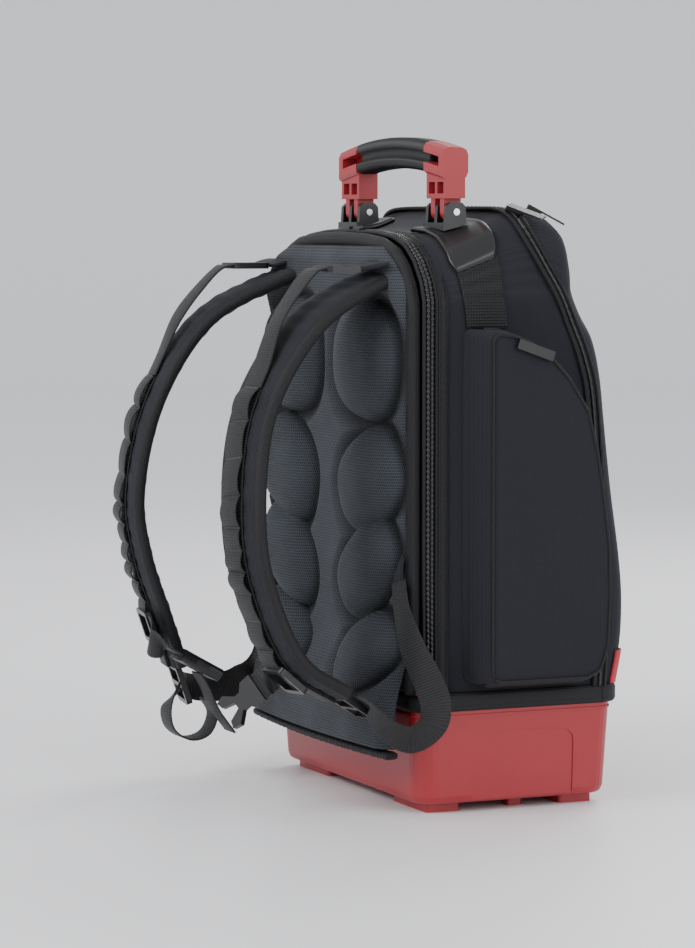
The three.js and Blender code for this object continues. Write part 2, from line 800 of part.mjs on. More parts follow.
function tongueShape() {
  const half = tongueWidth / 2;
  const shape = new THREE.Shape();
  shape.moveTo(half, legShoulder + legShelf / 2);
  shape.lineTo(-half, legShoulder + legShelf / 2);
  shape.lineTo(-half, 0);
  shape.absarc(0, 0, half, Math.PI, 2 * Math.PI, false);
  shape.closePath();
  const hole = new THREE.Path();
  hole.absarc(0, 0, pinDiameter / 2 + gap, 0, 2 * Math.PI, true);
  shape.holes.push(hole);
  return shape;
}

function handleLeg() {
  const x0 = handleX - legWidth / 2;
  const x1 = handleX + legWidth / 2;
  const back = pivotY - legDepth / 2;
  const front = pivotY + legDepth / 2;
  const low = pivotZ + legShoulder;
  const high = pivotZ + gripTop - gripHeight + 2;
  let leg = solidOf(block(x0, x1, back, front, low, high));
  const cell = (legWidth - 3 * legRib) / 2;
  const ceiling = high - gripArch - legShelf;
  for (const left of [x0 + legRib, x0 + 2 * legRib + cell]) {
    const hollow = block(left, left + cell, back - overrun, back + legCellDepth, low + legShelf, ceiling);
    leg = leg.subtract(solidOf(hollow));
  }
  leg = leg.add(solidOf(archedGrip(headChannelDepth, gripLength / 2 + gap, x1 - headEndWall, 3)));
  leg = leg.add(solidOf(archedGrip(0, x1 - headEndWall - 0.1, x1, 2)));
  const pitch = (bracketWidth - earThickness) / 4;
  for (const offset of [-pitch, pitch]) {
    const x = handleX + offset - tongueThickness / 2;
    const tongue = alongX(prism(tongueShape(), tongueThickness, 1, 6), x);
    leg = leg.add(solidOf(tongue.translate(0, pivotY, pivotZ)));
  }
  return geometryOf(leg);
}

// Shoulder straps and harness

function strapFrame(side) {
  const points = [...strapRoute, ...strapEnds[side > 0 ? 'left' : 'right']];
  const route = new THREE.CatmullRomCurve3(points.map(([x, y, z]) => new THREE.Vector3(side * x, y, z)));
  const turn = THREE.MathUtils.degToRad(strapTurn);
  const hint = new THREE.Vector3(Math.cos(turn), side * Math.sin(turn), 0);
  return (share) => {
    const along = route.getTangent(share);
    const normal = along.clone().cross(hint).normalize();
    const across = normal.clone().cross(along).normalize();
    return { place: route.getPoint(share), across, normal, along };
  };
}

function stationOf(frame, side) {
  const { place, normal } = frame;
  return [[side * place.x, place.y, place.z], [side * normal.x, normal.y, normal.z]];
}

// The part of a route between two shares
function stretch(frameAt, from, to) {
  return (share) => frameAt(from + share * (to - from));
}

// Moves a frame out along its normal and on along its route
function shifted(frame, out, on) {
  const place = frame.place.clone().addScaledVector(frame.normal, out).addScaledVector(frame.along, on);
  return { ...frame, place };
}

function atFrame(geometry, frame) {
  return placed(geometry, frame.place, frame.across, frame.normal, frame.along);
}

// Flat frame with slots, drawn across x and along z, its thickness along y
function adjuster(length, width, thickness, bars) {
  const shape = roundedRect(width, length, 4);
  const slot = (length - bars * ladderBar) / (bars - 1);
  for (let i = 0; i < bars - 1; i += 1) {
    const half = webWidth / 2 + gap;
    const low = -length / 2 + ladderBar + i * (slot + ladderBar);
    const corners = [[-half, low], [-half, low + slot], [half, low + slot], [half, low]];
    shape.holes.push(new THREE.Path(corners.map(([x, y]) => new THREE.Vector2(x, y))));
  }
  return reshape(prism(shape, thickness, 1, 2), (p) => p.set(p.x, thickness / 2 - p.z, p.y));
}

function maleBuckle() {
  const half = femaleWidth / 2;
  const shoulders = half - maleInset;
  const waist = half - maleWaist;
  const tip = maleBody + maleProng;
  const right = [
    [shoulders, 0], [shoulders, maleBody * 0.5], [waist, maleBody * 0.75], [waist, maleBody],
    [half - maleInset / 3, maleBody + maleProng * 0.55], [shoulders, tip],
    [waist, maleBody + maleProng * 0.9], [half - maleCore, maleBody + maleInset],
  ];
  const left = right.map(([x, y]) => [-x, y]).reverse();
  const thickness = maleThickness;
  return reshape(prism(polygon([...right, ...left]), thickness), (p) => p.set(p.x, thickness / 2 - p.z, p.y));
}

function femaleBuckle() {
  const shape = roundedRect(femaleWidth, femaleThickness, 4);
  return reshape(prism(shape, 1, 3, 3), (p) => {
    const waist = 1 - 0.12 * Math.sin(Math.PI * p.z);
    p.set(p.x * waist, p.y, p.z * femaleLength);
  });
}

function zipPull(tabLength, foot) {
  const wide = sliderWidth / 2;
  const long = sliderLength / 2;
  const half = pullWidth / 2;
  const body = block(-wide, wide, -foot, sliderHeight, -long, long);
  const tab = block(-half, half, sliderHeight - pullThickness, sliderHeight, 0, tabLength);
  return geometryOf(solidOf(body).add(solidOf(tab)));
}

// Zip pull seated at a place: its outward normal, the way its tab points and how deep its foot goes
function pullAt(place, normal, along, tabLength, foot = 0) {
  const out = normal.clone().normalize();
  const run = along.clone().addScaledVector(out, -along.dot(out)).normalize();
  return placed(zipPull(tabLength, foot), place, out.clone().cross(run), out, run);
}

function topPull({ y, side, along }, grow) {
  const { place, normal } = bodySurface(y, side, grow);
  const pull = solidOf(pullAt(place, normal, new THREE.Vector3(...along), pullLength, sliderFoot));
  return geometryOf(pull.subtract(bodySolid(grow, bodyBack, bodyBottom)));
}

function rearPull(side) {
  const x = side * sliderLength * rearPullSpread;
  const place = new THREE.Vector3(x, zipBack + zipWidth / 2, bodyTop - zipInset + gap);
  return pullAt(place, new THREE.Vector3(0, 0, 1), new THREE.Vector3(side, 0, 0), pullLength / 2);
}

function pocketPull() {
  const y = pocketRear + pocketLength * pocketPullPlace.length;
  const z = pocketBottom + pocketHeight * pocketPullPlace.height;
  const place = new THREE.Vector3(halfBody + 2 * gap + pocketProud, y, z);
  return pullAt(place, new THREE.Vector3(1, 0, 0), new THREE.Vector3(0, 1, -pocketPullSlope), pullLength);
}

// Fabric tab from the pad's top corner to the load lifter's buckle
function lifterTab(place, side) {
  const y0 = place.y + lifterLength + 2 * gap;
  const y1 = padFace - padThickness - gap;
  const half = ladderWidth / 2;
  const shape = polygon([[-half, y0], [half, y0], [half + lifterTabFlare, y1], [-half, y1]]);
  const tab = reshape(prism(shape, webThickness), (p) => {
    p.set(place.x * side + p.x, p.y, place.z - webThickness / 2 + p.z + (p.y - y0) * lifterTabRise);
  });
  return side > 0 ? tab : mirrored(tab);
}

function addHarness(side) {
  const name = side > 0 ? 'left' : 'right';
  const strap = strapFrame(side);
  const body = solidOf(ribbon(strap, strapWidth, -strapThickness, 0, strapSteps));
  const clear = halfSpaceY(padFace - padThickness - gap);
  addPiece(`strap_${name}`, geometryOf(body.subtract(clear)), 'navy');

  const chain = stretch(strap, chainStart, 1);
  const webTop = chainGap + webThickness;
  addPiece(`strap_webbing_${name}`, ribbon(chain, webWidth, chainGap, webTop, webSteps), 'webbing');

  const sewn = shifted(strap(chainStart), chainGap + webThickness / 2, -gap - 1);
  const landing = shifted(strap(chainStart - lifterLanding), 1.5 * webThickness, 0);
  const lifter = facedRoute([...lifterRoute, stationOf(landing, side), stationOf(sewn, side)], side);
  const webHalf = webThickness / 2;
  addPiece(`lifter_webbing_${name}`, ribbon(lifter, webWidth, -webHalf, webHalf, tailSteps), 'webbing');

  const start = lifter(0);
  const level = { ...start, along: new THREE.Vector3(0, -1, 0), normal: new THREE.Vector3(0, 0, 1) };
  level.across = level.normal.clone().cross(level.along);
  const buckle = shifted(level, 0, -lifterLength / 2 - gap);
  const lifterFrame = adjuster(lifterLength, ladderWidth, ladderThickness, 3);
  addPiece(`lifter_buckle_${name}`, atFrame(lifterFrame, buckle), 'plastic');

  addPiece(`lifter_tab_${name}`, lifterTab(start.place, side), 'navy');

  const end = shifted(strap(1), -strapThickness / 3, gap + ladderLength / 2);
  const lock = adjuster(ladderLength, ladderWidth, ladderThickness, 3);
  addPiece(`ladder_lock_${name}`, atFrame(lock, end), 'plastic');

  const under = shifted(end, -ladderThickness / 2 - 3 * gap - lowerWebThickness / 2, 0);
  const leadIn = [ladderBar * 2, -ladderBar].map((reach) => {
    const place = under.place.clone().addScaledVector(under.across, side * (ladderWidth / 2 + reach));
    return stationOf({ ...under, place }, side);
  });
  const sewnEnd = lowerSewn.map(({ out, rise, face }) => {
    return [[padHalf + out, sideTabFace, sideTabPoint + rise], face];
  });
  const hanging = lowerRoutes[name].map(([[out, y, z], face]) => [[trayWidth / 2 + out, y, z], face]);
  const lower = facedRoute([...sewnEnd, ...hanging, ...leadIn, stationOf(under, side)], side);
  const lowerHalf = lowerWebThickness / 2;
  addPiece(`lower_webbing_${name}`, ribbon(lower, webWidth, -lowerHalf, lowerHalf, strapSteps), 'webbing');

  const glide = shifted(strap(glideShare), webTop + gap + ladderThickness / 2, 0);
  const glideFrame = adjuster(glideLength, ladderWidth, ladderThickness, 2);
  addPiece(`chest_glide_${name}`, atFrame(glideFrame, glide), 'plastic');
  return { glide, end };
}

function addChestStrap(side, glide) {
  const name = side > 0 ? 'left' : 'right';
  const place = glide.place.clone().addScaledVector(glide.across, -side * (ladderWidth / 2 + gap));
  const leadIn = place.clone().addScaledVector(glide.across, -side * ladderBar);
  const start = [stationOf({ ...glide, place }, side), stationOf({ ...glide, place: leadIn }, side)];
  const route = facedRoute([...start, ...chestRoutes[name]], side);
  const half = lowerWebThickness / 2;
  addPiece(`chest_webbing_${name}`, ribbon(route, webWidth, -half, half, 8), 'webbing');
  return shifted(route(1), 0, gap);
}

function addTails(female, end) {
  const half = lowerWebThickness / 2;
  const tailStart = stationOf(shifted(female, femaleThickness / 2 + 4 * gap, femaleLength * 0.6), -1);
  const chestTail = facedRoute([tailStart, ...chestTailRoute], -1);
  addPiece('chest_tail', ribbon(chestTail, webWidth, -half, half, 8), 'webbing');
  const loopStart = shifted(end, ladderThickness / 2 + gap + half, 0);
  loopStart.place.addScaledVector(end.across, webWidth * 0.55);
  const loop = facedRoute([stationOf(loopStart, -1), ...loopTail], -1);
  addPiece('loop_tail', ribbon(loop, webWidth, -half, half, 22), 'webbing');
}

// Red fabric tabs above the band

function zipTab() {
  const x0 = halfBody - zipInset + gap;
  const y0 = backFace + 2;
  return block(x0, x0 + tabThickness, y0, y0 + tabWidth, bodyBottom + 1, bodyBottom + 1 + tabHeight);
}

function frontTab() {
  const y0 = frontReach - tabWidth;
  const bottom = bodyBottom + 1;
  const shape = polygon([
    [y0, bottom], [frontReach + 5, bottom], [frontReach + 5, bottom + tabHeight], [y0, bottom + tabHeight],
  ]);
  return geometryOf(bodySkin(tabThickness, shape, halfBody - frontCorner * 1.1, bodyWidth));
}

function addSideTab(name, side) {
  const tip = [padHalf - sideTabReach, sideTabPoint];
  const shape = polygon([[padHalf, sideTabBottom], [padHalf, sideTabTop], tip]);
  const tab = alongY(prism(shape, sideTabThickness), padFace - padThickness - skinGap);
  addPiece(name, side > 0 ? tab : mirrored(tab), 'navy');
}

// Assembly

addPiece('base_tray', baseTray(), 'redShell');
addPiece('base_band', baseBand(), 'black');
addPiece('main_shell', mainShell(), 'navy');
addPiece('front_shell', frontShell(), 'navy');
addPiece('front_trim', frontTrim(), 'black');
addPiece('rear_zip', rearZip(), 'black');
addPiece('back_cover', backCover(), 'black');
addPiece('back_pad', backPad(), 'mesh');
addPiece('pad_binding', padBinding(), 'black');
addPair('side_pocket', sidePocket(), 'navy');
addPair('handle_patch', handlePatch(), 'plastic');
addPair('side_webbing', sideWebbing(), 'webbing');
addPair('bracket', bracket(), 'plastic');
addPair('rivet', rivet(), 'steel');
addPair('handle_leg', handleLeg(), 'redHandle');
addPiece('handle_grip', handleGrip(), 'rubber');

const harness = { left: addHarness(1), right: addHarness(-1) };
addSideTab('side_tab_left', 1);
addSideTab('side_tab_right', -1);
const maleEnd = addChestStrap(1, harness.left.glide);
const femaleEnd = addChestStrap(-1, harness.right.glide);
addPiece('chest_buckle_male', atFrame(maleBuckle(), maleEnd), 'plastic');
addPiece('chest_buckle_female', atFrame(femaleBuckle(), femaleEnd), 'plastic');
addTails(femaleEnd, harness.right.end);
addPiece('top_pull_rear', topPull(topPulls.rear, trimProud + skinGap + gap), 'plastic');
addPiece('top_pull_front', topPull(topPulls.front, skinGap), 'plastic');
addPiece('rear_pull_left', rearPull(1), 'plastic');
addPiece('rear_pull_right', rearPull(-1), 'plastic');
addPair('pocket_pull', pocketPull(), 'plastic');
addPair('zip_tab', zipTab(), 'redFabric');
addPair('front_tab', frontTab(), 'redFabric');

// The origin lies under the middle of the whole part, on the floor
const extent = new THREE.Box3().setFromObject(root);
const middle = extent.getCenter(new THREE.Vector3());
root.position.set(-middle.x, -middle.y, -extent.min.z);

export default root;
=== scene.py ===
"""Tool backpack: looks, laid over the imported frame. Metres, +Z up, wearer's side towards -Y."""
import json
import math

import bpy
import numpy as np
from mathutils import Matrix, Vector


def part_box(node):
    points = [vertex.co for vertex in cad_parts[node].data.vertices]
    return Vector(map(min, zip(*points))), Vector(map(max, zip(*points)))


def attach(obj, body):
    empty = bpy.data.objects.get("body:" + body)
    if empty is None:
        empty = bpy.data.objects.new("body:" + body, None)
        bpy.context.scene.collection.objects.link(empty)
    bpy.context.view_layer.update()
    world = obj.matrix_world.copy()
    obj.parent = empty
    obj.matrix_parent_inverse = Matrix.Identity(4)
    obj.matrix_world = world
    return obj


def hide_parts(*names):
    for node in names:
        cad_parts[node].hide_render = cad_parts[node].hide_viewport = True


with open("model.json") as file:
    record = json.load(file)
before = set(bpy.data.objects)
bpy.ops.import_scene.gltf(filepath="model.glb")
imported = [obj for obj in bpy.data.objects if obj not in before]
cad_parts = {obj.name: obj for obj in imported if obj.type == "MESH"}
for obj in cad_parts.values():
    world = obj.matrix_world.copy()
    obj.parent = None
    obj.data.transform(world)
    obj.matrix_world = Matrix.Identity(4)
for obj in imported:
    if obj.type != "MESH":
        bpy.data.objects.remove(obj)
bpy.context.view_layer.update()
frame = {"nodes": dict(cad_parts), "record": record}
NODES = frame["nodes"]

MM = 0.001
TRAY_LOW, TRAY_HIGH = (np.array(corner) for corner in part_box("base_tray"))
# The part's source draws the base about its own middle, and the frame's origin lies behind it
MIDDLE = np.array([0.0, (TRAY_LOW[1] + TRAY_HIGH[1]) / 2, 0.0])

# Sizes shared with the solids, in millimetres
HALF_BODY = 148.0
BODY_BOTTOM = 97.6
BODY_TOP = 470.0
ROLL_RISE = 19.0
FRONT_REACH = 104.0
FRONT_CORNER = 22.0
BODY_BACK = -73.0
PROFILE_SPAN = BODY_TOP + ROLL_RISE - BODY_BOTTOM
SHOULDER_DROP = 55.0
SHOULDER_START = 350.0
PATCH_FRONT = -15.0
PAD_FACE = -94.3
PAD_HALF = 141.0
PAD_LOW, PAD_TOP = 55.0, 458.0
PAD_THICKNESS = 5.0
LOBE_DEPTH = 17.0
POCKET_REAR, POCKET_LENGTH = -38.0, 108.0
POCKET_BOTTOM, POCKET_HEIGHT = 106.0, 286.0
POCKET_PROUD, POCKET_FLARE = 29.7, 12.0
STRAP_WIDTH, STRAP_THICKNESS, STRAP_TURN = 62.0, 15.0, 7.5
WEB_WIDTH = 25.0
PIVOT_Y, PIVOT_Z = -37.0, 485.6
GRIP_TOP, GRIP_HEIGHT, GRIP_DEPTH, GRIP_ARCH = 62.4, 26.0, 23.0, 10.0
GRIP_HALF, LEG_OUTER = 68.0, 105.5

# Side profile and seam: [share of FRONT_REACH, share of PROFILE_SPAN]
FRONT_PROFILE = [
    [0.92, 0], [0.985, 0.09], [1, 0.175], [0.975, 0.26], [0.9, 0.4], [0.83, 0.56], [0.79, 0.65],
    [0.72, 0.735], [0.62, 0.79], [0.54, 0.85], [0.52, 0.91], [0.46, 0.965], [0.3, 0.995],
    [0.06, 0.995], [-0.14, 0.972], [-0.32, 0.955], [-0.5, 0.9515],
]
SEAM_PROFILE = [
    [0.07, 0.985], [0.12, 0.94], [0.22, 0.883], [0.356, 0.819], [0.48, 0.747],
    [0.577, 0.673], [0.635, 0.6], [0.69, 0.39], [0.73, 0.186], [0.7, -0.03],
]
SHOULDER = [[0, 0], [0.35, 0.02], [0.6, 0.08], [0.75, 0.2], [0.87, 0.42], [0.96, 0.72], [1, 1]]
POCKET_FACE = [
    [0, 0.03], [0.02, 0.008], [0.075, 0], [0.81, 0], [0.92, 0.02], [0.98, 0.087], [1, 0.23],
    [0.99, 0.38], [0.945, 0.514], [0.89, 0.643], [0.806, 0.773], [0.64, 0.87], [0.47, 0.937],
    [0.305, 0.976], [0.14, 0.997], [0.03, 1], [0, 0.985],
]
# Lobes of the back pad, one half: centre, half sizes as shares of the pad, tilt in degrees
LOBES = [
    (0.54, 0.77, 0.39, 0.12, -4), (0.6, 0.53, 0.38, 0.1, 24),
    (0.58, 0.35, 0.38, 0.085, 34), (0.62, 0.185, 0.35, 0.07, 22),
]
STRAP_ROUTE = [
    [92, -86, 443], [97, -120, 433], [110, -178, 400], [116, -224, 330], [129, -239, 243], [130, -231, 190],
]
STRAP_ENDS = {"left": [[130, -200, 125], [130, -158, 97]], "right": [[130, -214, 140], [130, -199, 96]]}
# Shares of the strap's route: start of its webbing, last loop and the chest glide
CHAIN_START, LOOP_END, GLIDE_SHARE = 0.4, 0.86, 0.88
LOOPS, LOOP_RISE = 10, 3.4
LOBE_SPREAD, WEB_RISE = 1.02, 9.0

# Free webbing, left side: places, then the way that the face looks at each
LIFTER_PLACES = [[100, -154.5, 440], [100, -161, 439], [104, -179, 421], [109, -197, 396]]
LIFTER_FACES = [[0, 0, 1], [0, -0.2, 1], [0, -0.6, 0.8], [0, -0.8, 0.6]]
LOWER_PLACES = {
    "left": [[157, -98, 138], [164, -88, 112], [166, -82, 92], [164, -84, 76], [162, -102, 66], [162, -126, 78]],
    "right": [[148, -107, 135], [146, -110, 100], [149, -120, 80], [154, -140, 71], [164, -168, 72]],
}
LOWER_FACES = {
    "left": [[0.5, -0.85, 0], [0.8, -0.6, 0], [0.95, -0.3, -0.1], [0.95, -0.2, -0.3], [0.85, -0.4, -0.3],
             [0.5, -0.65, -0.6]],
    "right": [[0.3, -0.95, 0], [0.6, -0.75, -0.1], [0.85, -0.3, -0.4], [0.9, -0.2, -0.3], [0.75, -0.6, -0.3]],
}
CHEST_PLACES = {
    "left": [[104, -203, 112], [100, -208, 106]],
    "right": [[95, -228, 121], [83, -222, 119], [80, -215, 116], [80, -208, 112]],
}
CHEST_FACES = {
    "left": [[0.4, -0.75, 0.1], [0.54, -0.71, 0.26]],
    "right": [[0, -1, 0], [0, -0.9, -0.4], [0, -0.51, -0.86], [0, -0.51, -0.86]],
}
TAIL_PLACES = [[80, -184, 82], [80, -176, 64], [80, -161, 43]]
TAIL_FACES = [[0, -0.95, -0.3], [0, -0.9, -0.4], [0, -0.85, -0.5]]
LOOP_PLACES = [[112, -207, 62], [112, -204, 44], [112, -188, 34], [112, -172, 38], [112, -165, 54], [112, -172, 67]]
LOOP_FACES = [[0, -1, 0], [0, -0.8, -0.6], [0, 0, -1], [0, 0.7, -0.7], [0, 1, 0], [0, 0.8, 0.5]]


# Camera and light

def add_camera():
    """Camera at the photograph's place: azimuth 66.4 degrees, looking down by 4.3 degrees."""
    data = bpy.data.cameras.new("camera")
    data.sensor_width = 36
    data.lens = 131.58
    data.clip_end = 20
    camera = bpy.data.objects.new("camera", data)
    bpy.context.scene.collection.objects.link(camera)
    azimuth, tilt = math.radians(66.4), math.radians(4.308)
    ahead = Vector((-math.sin(azimuth) * math.cos(tilt), math.cos(azimuth) * math.cos(tilt), -math.sin(tilt)))
    camera.location = Vector((2.653635, -1.245820 + MIDDLE[1], 0.484789))
    camera.rotation_euler = ahead.to_track_quat("-Z", "Y").to_euler()
    bpy.context.scene.camera = camera


def add_area(name, place, size, power, target=(0, 0.05, 0.28)):
    data = bpy.data.lights.new(name, "AREA")
    data.shape = "RECTANGLE"
    data.size, data.size_y = size
    data.energy = power
    lamp = bpy.data.objects.new(name, data)
    bpy.context.scene.collection.objects.link(lamp)
    lamp.location = place
    lamp.rotation_euler = (Vector(target) - Vector(place)).to_track_quat("-Z", "Y").to_euler()


def add_studio():
    """Pale sweep of floor and wall, one curve of a quarter circle between them."""
    world = bpy.data.worlds.new("studio")
    world.use_nodes = True
    world.node_tree.nodes["Background"].inputs["Color"].default_value = (0.8, 0.81, 0.84, 1)
    world.node_tree.nodes["Background"].inputs["Strength"].default_value = 1.22
    bpy.context.scene.world = world
    add_area("key", (0.5, -2.2, 1.9), (1.4, 1.2), 46)
    add_area("side", (2.4, 0.9, 1.2), (1.0, 1.6), 20)
    add_area("rim", (-1.2, 1.5, 1.6), (1.0, 1.0), 26)
    turn = np.linspace(0, math.pi / 2, 16)
    reach, radius, half = 6.5, 1.5, 9.0
    run = np.concatenate([[-6.0], reach + radius * np.sin(turn), [reach + radius]])
    rise = np.concatenate([[0.0], radius * (1 - np.cos(turn)), [4.0]])
    side = np.linspace(-half, half, 3)
    azimuth = math.radians(66.4)
    away = np.array([-math.sin(azimuth), math.cos(azimuth)])
    across = np.array([math.cos(azimuth), math.sin(azimuth)])
    grid = np.zeros((len(run), len(side), 3))
    grid[..., :2] = run[:, None, None] * away + side[None, :, None] * across
    grid[..., 2] = rise[:, None]
    faces = grid_faces(*grid.shape[:2])[:, ::-1]
    mesh_of("floor", grid.reshape(-1, 3), faces, plain("studio_floor", (0.88, 0.88, 0.89), 0.4))


# Meshes

def grid_faces(rows, columns, wrap=False):
    """Quads of a grid of points, its columns closed into a ring where wrap is set."""
    row = np.arange(rows - 1)[:, None]
    column = np.arange(columns if wrap else columns - 1)[None, :]
    following = (column + 1) % columns
    corners = [row * columns + column, row * columns + following,
               (row + 1) * columns + following, (row + 1) * columns + column]
    return np.stack([np.broadcast_to(c, (rows - 1, column.size)) for c in corners], -1).reshape(-1, 4)


def mesh_of(name, points, faces, material, smooth=True):
    mesh = bpy.data.meshes.new(name)
    mesh.from_pydata(np.asarray(points).tolist(), [], np.asarray(faces).tolist() if not isinstance(faces, list) else faces)
    mesh.polygons.foreach_set("use_smooth", [smooth] * len(mesh.polygons))
    mesh.materials.append(material)
    piece = bpy.data.objects.new(name, mesh)
    bpy.context.scene.collection.objects.link(piece)
    return piece


def placed(points):
    """Millimetres about the base's middle into metres in the frame."""
    return np.asarray(points) * MM + MIDDLE


def outward(piece):
    """Turns a closed shell's faces outwards: where its signed volume is negative, all are flipped."""
    mesh = piece.data
    mesh.calc_loop_triangles()
    points = np.zeros(len(mesh.vertices) * 3)
    mesh.vertices.foreach_get("co", points)
    points = points.reshape(-1, 3)
    corners = np.zeros(len(mesh.loop_triangles) * 3, int)
    mesh.loop_triangles.foreach_get("vertices", corners)
    a, b, c = (points[corners.reshape(-1, 3)[:, i]] for i in range(3))
    if np.einsum("ij,ij->i", a, np.cross(b, c)).sum() < 0:
        mesh.flip_normals()
    return piece


def sweep(name, place, across, normal, profile, material):
    """Closed tube: each point of a route plus profile x times across plus profile y times normal.
    Flat fans close both ends. profile is [points, 2], or [route, points, 2] where it changes."""
    profile = np.broadcast_to(profile, (len(place), *np.shape(profile)[-2:]))
    rings = place[:, None] + profile[..., :1] * across[:, None] + profile[..., 1:] * normal[:, None]
    rows, columns = rings.shape[:2]
    faces = grid_faces(rows, columns, wrap=True).tolist()
    faces.append(list(range(columns))[::-1])
    faces.append([(rows - 1) * columns + i for i in range(columns)])
    piece = mesh_of(name, placed(rings.reshape(-1, 3)), faces, material)
    run = np.concatenate([[0], np.cumsum(np.linalg.norm(np.diff(place, axis=0), axis=1))])
    route = np.stack([profile[..., 0], np.broadcast_to(run[:, None], (rows, columns)), profile[..., 1]], -1)
    piece.data.attributes.new("route", "FLOAT_VECTOR", "POINT").data.foreach_set("vector", route.ravel() * MM)
    return outward(piece)


def tape(name, replaced, places, faces, thickness, count=150):
    """Webbing along a curve through places, its face turned the way that a curve through faces says."""
    share = np.linspace(0, 1, count)
    place, looking = catmull_rom(places, share), catmull_rom(faces, share)
    along = np.gradient(place, axis=0)
    across = np.cross(looking, along)
    across /= np.linalg.norm(across, axis=1, keepdims=True)
    normal = np.cross(along, across)
    normal /= np.linalg.norm(normal, axis=1, keepdims=True)
    section = rounded_bar(WEB_WIDTH, -thickness / 2, thickness / 2, 5)
    ride_soft(sweep(name, place, across, normal, section, WEBBING), replaced)
    along /= np.linalg.norm(along, axis=1, keepdims=True)
    return place[-1], across[-1], normal[-1], along[-1]


def slab(name, outline_points, y0, y1, material):
    """Closed plate: an outline in X-Z at two depths, joined by a wall, its edges rounded by a bevel."""
    count = len(outline_points)
    x, z = np.asarray(outline_points, float).T
    points = np.vstack([np.stack([x, np.full(count, y), z], -1) for y in (y0, y1)])
    near = np.arange(count)
    after = np.roll(near, -1)
    walls = np.stack([near, after, after + count, near + count], -1).tolist()
    faces = walls + [near[::-1].tolist(), (near + count).tolist()]
    piece = outward(mesh_of(name, placed(points), faces, material, smooth=False))
    bevel = piece.modifiers.new("round", "BEVEL")
    bevel.width, bevel.segments = min(2.5, abs(y1 - y0) * 0.4) * MM, 3
    return piece


def rounded_bar(width, low, high, count=7):
    """Outline of a band: a rectangle whose two short ends are half ellipses."""
    half, tall = width / 2, (high - low) / 2
    middle = (high + low) / 2
    bulge = min(tall, half)
    turn = np.linspace(-math.pi / 2, math.pi / 2, count)
    right = np.stack([half - bulge + bulge * np.cos(turn), middle + tall * np.sin(turn)], -1)
    left = np.stack([-right[::-1, 0], right[::-1, 1]], -1)
    return np.concatenate([right, left])


def circle(radius, count=8):
    turn = np.linspace(0, 2 * math.pi, count, endpoint=False)
    return radius * np.stack([np.cos(turn), np.sin(turn)], -1)


def cord_frame(place, hint):
    """Frames along a line: across is hint cross tangent, normal is tangent cross across."""
    along = np.gradient(place, axis=0)
    along /= np.linalg.norm(along, axis=1, keepdims=True)
    across = np.cross(np.broadcast_to(hint, place.shape), along)
    across /= np.linalg.norm(across, axis=1, keepdims=True)
    return across, np.cross(along, across)


def catmull_rom(points, share):
    """Centripetal Catmull-Rom curve: knots lie apart by the root of the distance between points."""
    points = np.asarray(points, float)
    spans = len(points) - 1
    at = np.clip(np.asarray(share, float) * spans, 0, spans - 1e-9)
    index = at.astype(int)
    t = (at - index)[:, None]
    padded_points = np.vstack([2 * points[0] - points[1], points, 2 * points[-1] - points[-2]])
    p0, p1, p2, p3 = (padded_points[index + i] for i in range(4))
    pairs = ((p0, p1), (p1, p2), (p2, p3))
    d0, d1, d2 = (np.linalg.norm(b - a, axis=1, keepdims=True) ** 0.5 for a, b in pairs)
    d1 = np.where(d1 < 1e-4, 1.0, d1)
    d0, d2 = np.where(d0 < 1e-4, d1, d0), np.where(d2 < 1e-4, d1, d2)
    m1 = ((p1 - p0) / d0 - (p2 - p0) / (d0 + d1) + (p2 - p1) / d1) * d1
    m2 = ((p2 - p1) / d1 - (p3 - p1) / (d1 + d2) + (p3 - p2) / d2) * d1
    return (p1 + m1 * t + (-3 * p1 + 3 * p2 - 2 * m1 - m2) * t ** 2
            + (2 * p1 - 2 * p2 + m1 + m2) * t ** 3)


def smoothstep(x, low, high):
    t = np.clip((x - low) / (high - low), 0, 1)
    return t * t * (3 - 2 * t)


# Materials

def effect(name, inputs, build):
    """Shader group that outputs one value; build wires it from its inputs."""
    group = bpy.data.node_groups.new(name, "ShaderNodeTree")
    group.interface.new_socket("Vector", in_out="INPUT", socket_type="NodeSocketVector")
    for label, value in inputs.items():
        socket = group.interface.new_socket(label, in_out="INPUT", socket_type="NodeSocketFloat")
        socket.default_value = value
    group.interface.new_socket("Value", in_out="OUTPUT", socket_type="NodeSocketFloat")
    source = group.nodes.new("NodeGroupInput")
    sink = group.nodes.new("NodeGroupOutput")
    group.links.new(build(group, source), sink.inputs["Value"])
    return group


def node(tree, kind, links=(), **values):
    made = tree.nodes.new(kind)
    for key, value in values.items():
        setattr(made, key, value)
    for socket, source in links:
        if hasattr(source, "is_linked"):
            tree.links.new(source, made.inputs[socket])
        else:
            made.inputs[socket].default_value = source
    return made


def weave_height(tree, source):
    """Sine of x and z at the thread count, multiplied and roughened with noise."""
    split = node(tree, "ShaderNodeSeparateXYZ", [(0, source.outputs["Vector"])])
    waves = []
    for axis in ("X", "Y", "Z"):
        scaled = node(tree, "ShaderNodeMath", [(0, split.outputs[axis]), (1, source.outputs["Threads"])], operation="MULTIPLY")
        waves.append(node(tree, "ShaderNodeMath", [(0, scaled.outputs[0])], operation="SINE").outputs[0])
    both = node(tree, "ShaderNodeMath", [(0, waves[0]), (1, waves[2])], operation="ADD")
    total = node(tree, "ShaderNodeMath", [(0, both.outputs[0]), (1, waves[1])], operation="ADD")
    noise = node(tree, "ShaderNodeTexNoise", [("Vector", source.outputs["Vector"]), ("Scale", 260.0), ("Detail", 3.0)])
    return node(tree, "ShaderNodeMath", [(0, total.outputs[0]), (1, noise.outputs["Fac"])], operation="ADD").outputs[0]


